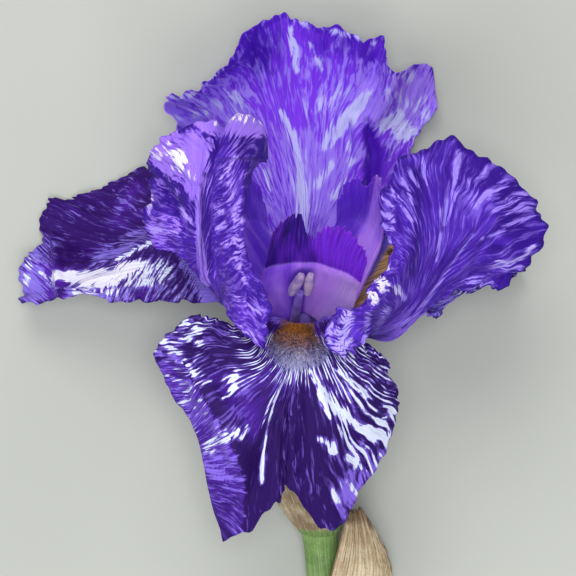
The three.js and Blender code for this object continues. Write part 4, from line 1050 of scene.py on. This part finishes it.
def left_standard_flow(x, y):
    """Right of the left standard's ridge streaks cross to the frilled margin; left of it they fan out."""
    valley = np.array([(-15, 3), (-18.3, 11), (-19.6, 20), (-19.4, 30), (-18.3, 36)])
    right = (x > np.interp(y, valley[:, 1], valley[:, 0])) & (y < valley[-1, 1])
    crease = np.array([(-37, 36.5), (-34, 35.3), (-29, 31.4), (-24.8, 28), (-23.2, 21)])
    left = (x < -23.2) & (y < np.interp(x, crease[:, 0], crease[:, 1]))
    dx, dy = x + 18.5, y - 16
    level = np.where(right, y - (x + 17) * (0.045 * y - 0.35), -13 * np.arctan2(dy, -dx))
    return right | left, 0.017 * level + 3, np.where(right, 0.045 * x, 0.03 * np.hypot(dx, dy)) + 2


FLOWS = {"front_fall": front_flow, "left_fall": left_fall_flow, "left_standard": left_standard_flow}


def add_petal(name, petal, **levels):
    """Adds a petal, its fields at these levels but for its marks, and returns its middle surface."""
    middle = ruffled(petal, petal_grid(petal))
    # 0.7 mm thick at the foot, 0.42 in the blade and 0.2 at the margin
    thickness = 0.7 - 0.28 * smooth(GRID_V, 0.05, 0.4) - 0.22 * smooth(GRID_V, 0.75, 1.0)
    flow = None
    if name in FLOWS:
        x, y = (middle - THROAT)[..., 0], (middle - THROAT)[..., 1]
        beyond, across, lengthwise = FLOWS[name](x, y)
        flow = (beyond, np.stack([across, lengthwise], axis=-1))
    finish = petal_material(f"{name}_finish", petal["shift"], petal["colours"], **petal.get("streaks", {}))
    fields = petal_fields(petal, middle, flow, levels)
    shell_mesh(name, middle, thickness, finish, fields, flow)
    return middle


fringe = window(GRID_V, 0.5, 0.6, 0.1)
shoulder = (1 - smooth(GRID_U, 0.2, 0.38)) * smooth(GRID_V, 0.4, 0.6)
right_side = smooth(GRID_U, 0.62, 0.76) * smooth(GRID_V, 0.42, 0.52)
front_surface = add_petal(
    "front_fall",
    FRONT_FALL,
    white=0.12 + 0.4 * np.maximum(np.maximum(fringe, 0.6 * shoulder), 0.65 * right_side),
    pale=0.75 * (1 - smooth(GRID_V, 0.28, 0.42)) * smooth(GRID_SIDE, 0.45, 0.7),
    shade=-0.3,
    stripe=np.clip(0.95 * fringe + 0.4 * shoulder + 0.8 * right_side, 0, 1),
)
lower_half = smooth(GRID_U, 0.6, 0.72) * smooth(GRID_V, 0.4, 0.55)
left_surface = add_petal("left_fall", LEFT_FALL, white=0.12 + 0.3 * lower_half, shade=-0.12)
haft = 1 - smooth(GRID_V, 0.3, 0.45)
right_surface = add_petal(
    "right_fall", RIGHT_FALL, white=0.2, pale=0.25 + 0.8 * haft, shade=-0.1, stripe=0.2
)
add_petal(
    "back_standard",
    BACK_STANDARD,
    white=0.34 - 0.08 * smooth(GRID_V, 0.8, 1.0),
    pale=0.5 - 0.38 * smooth(GRID_V, 0.5, 0.85),
    shade=0.2,
)
for name, petal in (("left_standard", LEFT_STANDARD), ("right_standard", RIGHT_STANDARD)):
    add_petal(name, petal, white=0.3, pale=0.06, shade=-0.05)


# ---- style arms: veins of [round, out, up], from the base to the lip and over the crest ----
STYLE_VEINS = np.array([
    [(-5.6, 3.4, 0.6), (-9.6, 7.2, 6.2), (-9.4, 11.8, 13.6),
     (-8.2, 15.3, 18.8), (-7.2, 16.4, 24), (-6.2, 17, 28)],
    [(-3, 3, 2.6), (-5, 7.1, 9), (-5, 12.4, 15.4), (-4.8, 16, 20.1), (-4.5, 17.3, 25.6), (-3.2, 18, 31)],
    [(-1, 2.9, 4), (-1.6, 7.2, 10.3), (-1.4, 12.4, 16.3),
     (-1, 16.3, 20.7), (-0.8, 17.7, 26.2), (-0.4, 18.8, 31.9)],
    [(0, 3, 4.1), (0.5, 7.2, 10.5), (1.5, 12.4, 16.5),
     (2, 16.2, 20.6), (1.8, 17.4, 23.9), (1.7, 17.5, 26.4)],
    [(1, 2.9, 4), (2.6, 7.2, 10.3), (4.4, 12.4, 16), (5, 16.1, 20), (5.3, 17.3, 24.9), (6, 18.1, 29.2)],
    [(3, 3, 2.6), (6, 7.2, 8.8), (8, 12.4, 14.6), (9, 16.1, 18.4), (9.7, 17.1, 23.2), (11.3, 18, 26.8)],
    [(5.6, 3.4, 0.6), (10.6, 7.6, 5.6), (12, 12.2, 12.2),
     (12.8, 15.9, 15.8), (13.6, 17, 19.2), (14.2, 17.8, 21.4)],
])
NOTCH_VEIN, SIDE_NOTCH_RISE = 3, (1.0, 2.4)


def add_style_arm(name, azimuth, seed, spread, finish, frilled, bright, fade):
    """A ribbed arm with a toothed crest; its painted light and shade are given at u 0 and at u 1, and fade
    darkens them towards the top.
    """
    u, v = grid_places(ARM_NU, ARM_NV)
    stations = STYLE_VEINS.copy()
    if frilled < 1:
        stations[NOTCH_VEIN, -2:, 2] += SIDE_NOTCH_RISE
    tangent, out, up = [stations[..., [k]] for k in range(3)]
    veins = THROAT + spread * tangent * around(azimuth) + out * outward(azimuth) + up * UP
    middle = loft(veins, ARM_NU, ARM_NV)
    teeth = np.abs(np.sin(np.pi * (17 * u + 1.2 * np.sin(11 * u + seed)))) ** 0.8
    teeth = 0.9 * teeth + 0.4 * waves(u, 18, 34, seed) + 0.2 * waves(u, 48, 64, seed + 7)
    teeth = teeth * (0.25 + 0.75 * frilled) * (1 - 0.8 * smooth(np.abs(2 * u - 1), 0.86, 1))
    push = (0.25 + 0.35 * frilled) * smooth(v, 0.6, 1) * waves(u, 5, 9, seed + 1)
    push += 0.22 * smooth(v, 0.7, 1) * waves(u, 18, 26, seed + 2)
    push += 0.04 * waves(u, 24, 30, seed + 3) * smooth(v, 0.1, 0.3)
    middle = displaced(middle, push, (teeth - 0.4) * smooth(v, 0.8, 1))
    # 0.8 mm thick in the arm, 0.55 in the crest and 0.25 at its teeth
    thickness = 0.8 - 0.25 * smooth(v, 0.5, 0.7) - 0.3 * smooth(v, 0.85, 1)
    lip = 0.6 + 0.008 * waves(u, 2, 5, seed + 5)
    rims = smooth(2 * u - 1, 0.78 - 0.33 * frilled, 0.95) * (1 - smooth(v, 0.5, 0.6))
    # painted shade: a darker band in the hollow beside the filament, taken off the painted light below
    groove = frilled * bell(u, 0.4, 0.11) * (1 - smooth(v, 0.36, 0.58))
    # painted light: brighter towards one side of the arm, then darkened towards its top by fade
    light = bright[0] + (bright[1] - bright[0]) * smooth(u, 0.35 * frilled, 0.55 + 0.2 * frilled)
    fields = {
        "crest": frilled * smooth(v, lip - 0.02, lip + 0.02),
        "bright": light * (1 - fade * smooth(v, 0.4, 0.8)) - 0.7 * groove,
        "pale": np.clip(0.3 * frilled * bell(v, lip, 0.01) + 0.8 * rims, 0, 1),
    }
    shell_mesh(name, middle, thickness, finish, fields)


CREST = (srgb(34, 6, 108), srgb(104, 32, 188))
front_finish = style_material("front_style_finish", 3.0, (srgb(119, 61, 210), srgb(196, 139, 255)), CREST)
side_finish = style_material("side_style_finish", 8.0, (srgb(96, 41, 199), srgb(182, 131, 255)), CREST)
# each third of the flower: its degrees round the axis, and its seed
THIRDS = {"front": (0, 5), "left": (-120, 17), "right": (120, 29)}
# each arm: its spread, which is negative where it is mirrored, its finish, how frilled its crest is,
# its painted light at u 0 and at u 1, and how much that painted light fades towards its top
ARMS = {
    "front": (1, front_finish, 1.0, (0.3, 1.0), 0.0),
    "left": (-0.98, side_finish, 0.25, (0.45, 0.2), 0.0),
    "right": (0.98, side_finish, 0.15, (1.15, 0.0), 0.4),
}
for word, (azimuth, seed) in THIRDS.items():
    add_style_arm(f"{word}_style_arm", azimuth, seed, *ARMS[word])


# ---- beards: tapered hairs standing on the falls ----
def sample(grid, u, v):
    """Values of a grid [u, v] between its points."""
    x, y = u * (grid.shape[0] - 1), v * (grid.shape[1] - 1)
    i = np.clip(np.floor(x).astype(int), 0, grid.shape[0] - 2)
    j = np.clip(np.floor(y).astype(int), 0, grid.shape[1] - 2)
    fx, fy = (x - i)[:, None], (y - j)[:, None]
    near = grid[i, j] * (1 - fx) + grid[i + 1, j] * fx
    far = grid[i, j + 1] * (1 - fx) + grid[i + 1, j + 1] * fx
    return near * (1 - fy) + far * fy


def hair_faces(count):
    """Triangles of hairs with three-sided rings, closed at both ends."""
    size = HAIR_RINGS * HAIR_SIDES
    faces = []
    for ring in range(HAIR_RINGS - 1):
        for k in range(HAIR_SIDES):
            a, b = ring * HAIR_SIDES + k, ring * HAIR_SIDES + (k + 1) % HAIR_SIDES
            faces += [(a, b, b + HAIR_SIDES), (a, b + HAIR_SIDES, a + HAIR_SIDES)]
    faces += [(2, 1, 0), (size - 3, size - 2, size - 1)]
    return (np.array(faces)[None] + (np.arange(count) * size)[:, None, None]).reshape(-1, 3)


def add_beard(name, surface, side, middle, half_width, span, change, count, length, seed):
    """Hairs over a band along the fall's middle; past the change they are the outer, whitish ones."""
    rng = np.random.RandomState(seed)
    start, stop = span
    t = rng.uniform(0, 1, count)
    s = rng.uniform(-1, 1, count)
    inner = 1 - smooth(t, *change)
    taper = 0.6 + 0.4 * np.sin(np.pi * np.minimum(1, 0.2 + 0.72 * t))
    u = middle - 0.03 * inner + half_width * (1 - 0.2 * inner) * taper * s
    v = start + (stop - start) * t
    root = sample(surface, u, v)
    normal, forward, sideways = [unit(sample(way, u, v)) for way in sheet_frame(surface)]
    outer = np.clip(1 - inner + 0.3 * rng.normal(size=count) * window(t, *change, 0.2), 0, 1)
    lean = 1.2 * smooth(t, 0.35, 1.0) - 0.7 * (1 - smooth(t, 0, 0.2))
    jitter = rng.normal(scale=0.2, size=(count, 3))
    direction = unit(normal * side + forward * lean[:, None] + sideways * (0.35 * s)[:, None] + jitter)
    reach = length * (0.6 + 0.4 * np.sqrt(1 - 0.9 * s * s)) * (0.6 + 0.4 * smooth(t, 0.1, 0.5))
    reach = reach * (1 - 0.3 * smooth(t, 0.75, 1)) * rng.uniform(0.7, 1.1, count)
    bend = forward * (0.25 + 0.5 * t)[:, None] + rng.normal(scale=0.12, size=(count, 3))
    first = unit(np.cross(direction, np.array([0.31, 0.52, 0.79])))
    second = np.cross(direction, first)
    thick = 0.075 * rng.uniform(0.8, 1.2, count)
    levels = np.linspace(0, 1, HAIR_RINGS)
    points = []
    for w in levels:
        centre = root + direction * (reach * w)[:, None] + bend * (reach * w * w * 0.35)[:, None]
        radius = (thick * (1 - 0.8 * w ** 1.5))[:, None]
        for angle in ring_angles(HAIR_SIDES):
            points.append(centre + (first * np.cos(angle) + second * np.sin(angle)) * radius)
    size = HAIR_RINGS * HAIR_SIDES
    fields = {
        "outer": np.repeat(outer, size),
        "random": np.repeat(rng.uniform(0, 1, count) * (1 - 0.55 * s * s), size),
        "height": np.tile(np.repeat(levels, HAIR_SIDES), count),
    }
    vertices = np.stack(points, axis=1).reshape(-1, 3)
    add_mesh(name, vertices, hair_faces(count), beard_finish, name, fields)


beard_finish = beard_material("beard_finish")
# the side of the fall that the hairs stand on, the band's middle, half width and span on the fall,
# where along it the colour changes, then how many hairs, how long, and the seed
add_beard("front_beard", front_surface, -1, 0.502, 0.322, (0.395, 0.57), (0.42, 0.76), 6400, 2.7, 71)
add_beard("left_beard", left_surface, -1, 0.5, 0.13, (0.22, 0.44), (0.5, 0.65), 1600, 2.0, 73)
add_beard("right_beard", right_surface, 1, 0.5, 0.13, (0.36, 0.58), (0.5, 0.65), 1800, 2.3, 79)


# ---- stamens: a filament, and an anther of two sacs ----
def add_stamen(word, azimuth, seed):
    stations = [(-1.9, 3.1, 0.9), (-1.6, 6.2, 3.8), (-1.2, 10.2, 7.6), (-0.5, 14, 12.8)]
    side = around(azimuth)
    t = np.linspace(0, 1, 40)
    centres = along([THROAT + bloom_point(azimuth, *station) for station in stations], t)
    t = t[:, None]
    angle = ring_angles(18)
    radii = (1.1 - 0.3 * t) * (1 + 0.12 * np.cos(2 * angle) + 0.03 * np.cos(5 * angle + 3 * t))
    name = f"{word}_filament"
    tube_mesh(name, tube_rings(centres, radii, side), filament_finish, name)

    name = f"{word}_anther"
    start = THROAT + bloom_point(azimuth, -0.9, 13.4, 11.4)
    axis = unit(bloom_point(azimuth, 0.24, 0.46, 0.88))
    face = np.cross(axis, side)
    t = np.linspace(0, 1, 64)[:, None]
    angle = ring_angles(28)
    groove = 1 - 0.3 * np.exp(-((np.sin((angle - 0.5 * np.pi) / 2) / 0.16) ** 2))
    swell = 1.16 * np.sin(np.pi * (0.05 + 0.9 * t)) ** 0.3
    for sign, piece in ((-1, name), (1, f"{name}_b")):
        gap = 1.75 - 0.68 * smooth(t, 0.0, 0.9)
        centres = start + axis * (0.9 + 6.8 * t) + side * (sign * gap) + face * (0.15 * np.sin(5 * t))
        bumpy = 1 + 0.03 * np.random.RandomState(seed + sign).normal(size=(64, 28))
        tube_mesh(piece, tube_rings(centres, swell * groove * bumpy, side), anther_finish, name)


filament_finish = stamen_material("filament_finish", False)
anther_finish = stamen_material("anther_finish", True)
for word, (azimuth, seed) in THIRDS.items():
    add_stamen(word, azimuth, 100 + seed)


# ---- tube, ovary, stem and style column ----
AXIS_POINTS = [(0, 0, 0), (0.7, -9.4, -3.4), (1.6, -20.7, -7.5), (2.8, -32.9, -11.9), (3.9, -44.8, -16.1)]
AXIS_FINE = along(np.array(AXIS_POINTS) + THROAT, np.linspace(0, 1, 801))
AXIS_RUN = np.concatenate([[0], np.cumsum(np.linalg.norm(np.diff(AXIS_FINE, axis=0), axis=1))])
AXIS_LENGTH = AXIS_RUN[-1]
BELOW_OVARY = unit(np.array([0.5, -7.2, -2.1]))
STEM_POINTS = [
    (3.78, -43.5, -15.6), (4.4, -52, -18.2), (5, -60, -19), (5.6, -70, -19.2), (6.1, STEM_END_Y, -19.2)
]


def down_axis(distances):
    """Points on the flower's axis, by how far they are below the throat along it."""
    on_axis = np.stack([np.interp(distances, AXIS_RUN, AXIS_FINE[:, k]) for k in range(3)], axis=-1)
    return on_axis + np.maximum(distances - AXIS_LENGTH, 0)[..., None] * BELOW_OVARY


def add_perianth_tube(name, finish, angle):
    """A hollow flared rim and six low ribs, narrowing to the ovary."""
    inside = np.array([0.3, 0.22, 0.15, 0.09, 0.04, 0.0])
    inner = np.array([1.2, 2.0, 2.2, 2.5, 3.1, RIM_RADIUS - 0.9])
    t = np.linspace(0, 1, 60)
    outline = [RIM_RADIUS + 1.0, TUBE_RADIUS + 0.8, TUBE_RADIUS, 3.25, 3.55]
    outer = np.interp(t, [0, 0.1, 0.25, 0.7, 1], outline)
    ribs = 1 + 0.045 * np.cos(6 * angle) * (1 - 0.5 * t[:, None]) + 0.006 * np.cos(31 * angle + 2)
    radii = np.concatenate([inner[:, None] * np.ones_like(angle), outer[:, None] * ribs])
    below = np.concatenate([0.2 + (TUBE_LENGTH - 0.2) * inside, 0.2 + (TUBE_LENGTH + 0.7) * t])
    straight = unit(down_axis(np.array([12.0])) - down_axis(np.array([8.0])))
    tangents = np.repeat(straight, len(below), 0)
    tube_mesh(name, tube_rings(down_axis(below), radii, tangents=tangents), finish, name)


def add_ovary(name, finish, angle):
    """Three lobes with a groove down each."""
    t = np.linspace(0, 1, 70)
    body = TUBE_RADIUS + (OVARY_RADIUS - TUBE_RADIUS) * np.sin(np.pi * np.minimum(1, 0.1 + 0.85 * t))
    body = body * (0.85 + 0.15 * smooth(t, -0.02, 0.08))
    lobes = 1 + 0.05 * np.cos(3 * angle) - 0.03 * np.exp(-((np.sin(1.5 * angle) / 0.25) ** 2))
    below = TUBE_LENGTH + SEAT_GAP + (AXIS_LENGTH - TUBE_LENGTH - 2 * SEAT_GAP) * t
    tube_mesh(name, tube_rings(down_axis(below), body[:, None] * lobes), finish, name)


def add_stem(name, finish, angle):
    """Fine ridges, and a swollen top."""
    t = np.linspace(0, 1, 120)
    centres = along(np.array(STEM_POINTS) + THROAT, t)
    body = STEM_RADIUS - 0.09 + 0.6 * bell(t, 0, 0.12) + 0.05 * np.sin(9 * t) - 0.25 * smooth(t, 0.99, 1)
    body = body * (0.84 + 0.16 * smooth(t, 0, 0.05))
    ridges = 1 + 0.012 * np.cos(17 * angle) + 0.008 * np.cos(7 * angle + 4 * t[:, None])
    tube_mesh(name, tube_rings(centres, body[:, None] * ridges), finish, name)


def add_style_column(name, finish, angle):
    """Where the three style arms join."""
    t = np.linspace(0, 1, 40)[:, None]
    foot, top = down_axis(np.array([5.5]))[0], THROAT + bloom_point(0, 0, 0, 3.6)
    radii = (1.2 + 0.7 * t) * (1 + 0.09 * np.cos(3 * angle))
    tube_mesh(name, tube_rings(foot + (top - foot) * t, radii), finish, name)


axis_angles = ring_angles(AXIS_SIDES)
stem_green = green_material("stem_finish", srgb(122, 156, 84), srgb(84, 118, 52), 5.0, 1.2)
tube_green = green_material("tube_finish", srgb(142, 150, 104), srgb(96, 96, 92), 9.0, 1.6, 0.95)
add_perianth_tube("perianth_tube", tube_green, axis_angles)
add_ovary("ovary", stem_green, axis_angles)
add_stem("stem", stem_green, axis_angles)
add_style_column("style_column", stamen_material("column_finish", False), axis_angles)


# ---- spathes ----
def add_spathe(name, veins, nu, nv, seed, finish):
    """A dry sheath with wrinkles, a ragged end, and thin margins and foot."""
    middle = loft(veins, nu, nv)
    u, v = grid_places(nu, nv)
    margin = np.maximum(smooth(v, 0.7, 1), smooth(np.abs(2 * u - 1), 0.8, 1) * smooth(v, 0.1, 0.4))
    push = 0.12 * waves(u, 16, 26, seed) + 0.3 * smooth(v, 0.2, 1) * waves(u + 0.2 * v, 4, 8, seed + 1)
    push += 0.22 * smooth(v, 0.1, 0.6) * waves(v + 0.4 * u, 4, 9, seed + 2) * waves(u, 3, 7, seed + 3)
    push += 0.3 * margin * waves(u + 0.1 * v, 12, 20, seed + 4)
    ragged = -0.7 + 0.8 * waves(u, 6, 11, seed + 5) + 0.35 * waves(u, 22, 36, seed + 6)
    middle = press_on_floor(displaced(middle, push, ragged * smooth(v, 0.8, 1)))
    foot = 1 - smooth(v, 0, 0.16)
    thickness = 0.5 - 0.26 * margin - 0.24 * foot
    shell_mesh(name, middle, thickness, finish, {"margin": margin, "foot": foot})


# the inner spathe wraps the ovary: degrees round, how far each vein rises, and how far it flares
INNER_VEINS = [
    (-150, 8, 1), (-110, 9, 3), (-70, 11, 3.2), (-30, 15, 1.4), (10, 19, 0), (50, 21, 0), (90, 20, 0),
    (130, 15, 0), (165, 9, 0),
]
INNER_FOOT = 48.8
OUTER_VEINS = np.array([
    [(2.8, -75, -15.8), (3.2, -66, -14.4), (6.2, -56.5, -12), (8.6, -48, -12), (10.2, -41.5, -13)],
    [(5.5, -75, -14.7), (7.2, -66, -13), (10, -57, -10.5), (11.3, -49, -11), (11.4, -41, -12.7)],
    [(8.3, -75, -15.5), (11, -66, -14), (14.5, -57.5, -11.5), (14.4, -49.5, -11.6), (12.6, -41.2, -13)],
    [(9.9, -75, -17.8), (13.2, -66, -16.8), (18.4, -58, -15), (17.2, -50, -14.2), (13.6, -41.8, -13.7)],
    [(10.1, -75, -20.1), (13.4, -66, -20), (19.8, -58.5, -19), (18.6, -50.5, -17.5), (14.2, -43, -14.8)],
])
inner_veins = []
for turn, rise, flare in INNER_VEINS:
    t = np.linspace(0, 1, 5)
    radius = 4.5 + 4.9 * t - 1.6 * t * t + 0.6 * np.sin(3 * np.radians(turn)) * t + flare * t
    inner_veins.append(down_axis(INNER_FOOT - (rise + 2) * t) + outward(turn) * radius[:, None])
inner_papery = papery_material("inner_spathe_finish", srgb(176, 160, 132), srgb(132, 112, 84), 4.0)
outer_papery = papery_material("outer_spathe_finish", srgb(222, 204, 168), srgb(188, 164, 128), 17.0)
add_spathe("inner_spathe", inner_veins, 150, 60, 83, inner_papery)
add_spathe("outer_spathe", OUTER_VEINS + THROAT, 90, 100, 97, outer_papery)

# ---- floor, light and camera, in metres ----
FLOOR_HALF = 3.0
LIGHT_TARGET = Vector((0, 0, 0.02))
CAMERA_HEIGHT = 1.5
CAMERA_SHIFT = np.array([-3.1, 8.1])  # from the throat, in millimetres


def add_stage():
    """A plain pale surface for the flower to lie on."""
    corners = [(x * FLOOR_HALF, y * FLOOR_HALF, 0) for x, y in ((-1, -1), (1, -1), (1, 1), (-1, 1))]
    mesh = bpy.data.meshes.new("floor")
    mesh.from_pydata(corners, [], [(0, 1, 2, 3)])
    tree = Tree("floor_finish")
    colour = tree.fade(tree.grain(6, 1.0, detail=4), 0.3, 0.7, srgb(172, 174, 166), srgb(178, 180, 172))
    mesh.materials.append(tree.finish(colour, 0.8))
    floor = link("floor", mesh)


def add_light(name, place, size, power, colour):
    light = bpy.data.lights.new(name, "AREA")
    light.shape = "DISK"
    light.size = size
    light.energy = power
    light.color = colour
    lamp = link(name, light)
    lamp.location = place
    lamp.rotation_euler = (LIGHT_TARGET - Vector(place)).to_track_quat("-Z", "Y").to_euler()


def add_world():
    world = bpy.data.worlds.new("studio")
    world.use_nodes = True
    background = world.node_tree.nodes["Background"].inputs
    background["Color"].default_value = (0.86, 0.89, 0.95, 1)
    background["Strength"].default_value = 0.42
    bpy.context.scene.world = world
    bpy.context.scene.view_settings.view_transform = "Standard"


def add_camera():
    """A long lens straight above, a little up from the throat."""
    camera = bpy.data.cameras.new("camera")
    camera.lens = 417.6
    camera.sensor_width = 36
    camera.clip_start = 0.05
    camera.clip_end = 20
    holder = link("camera", camera)
    x, y = (THROAT[:2] + CAMERA_SHIFT) * MM
    holder.location = (x, y, CAMERA_HEIGHT)
    bpy.context.scene.camera = holder


add_stage()
add_light("key", (-0.15, 0.75, 0.95), 0.7, 5.9, (1.0, 0.985, 0.96))
add_light("fill", (0.06, -0.7, 0.98), 0.8, 6.0, (0.95, 0.965, 1.0))
add_light("top", (0.02, 0.04, 1.9), 0.6, 13.2, (0.97, 0.975, 1.0))
add_light("side", (-0.9, -0.2, 0.6), 0.8, 2.8, (0.95, 0.96, 1.0))
add_world()
add_camera()
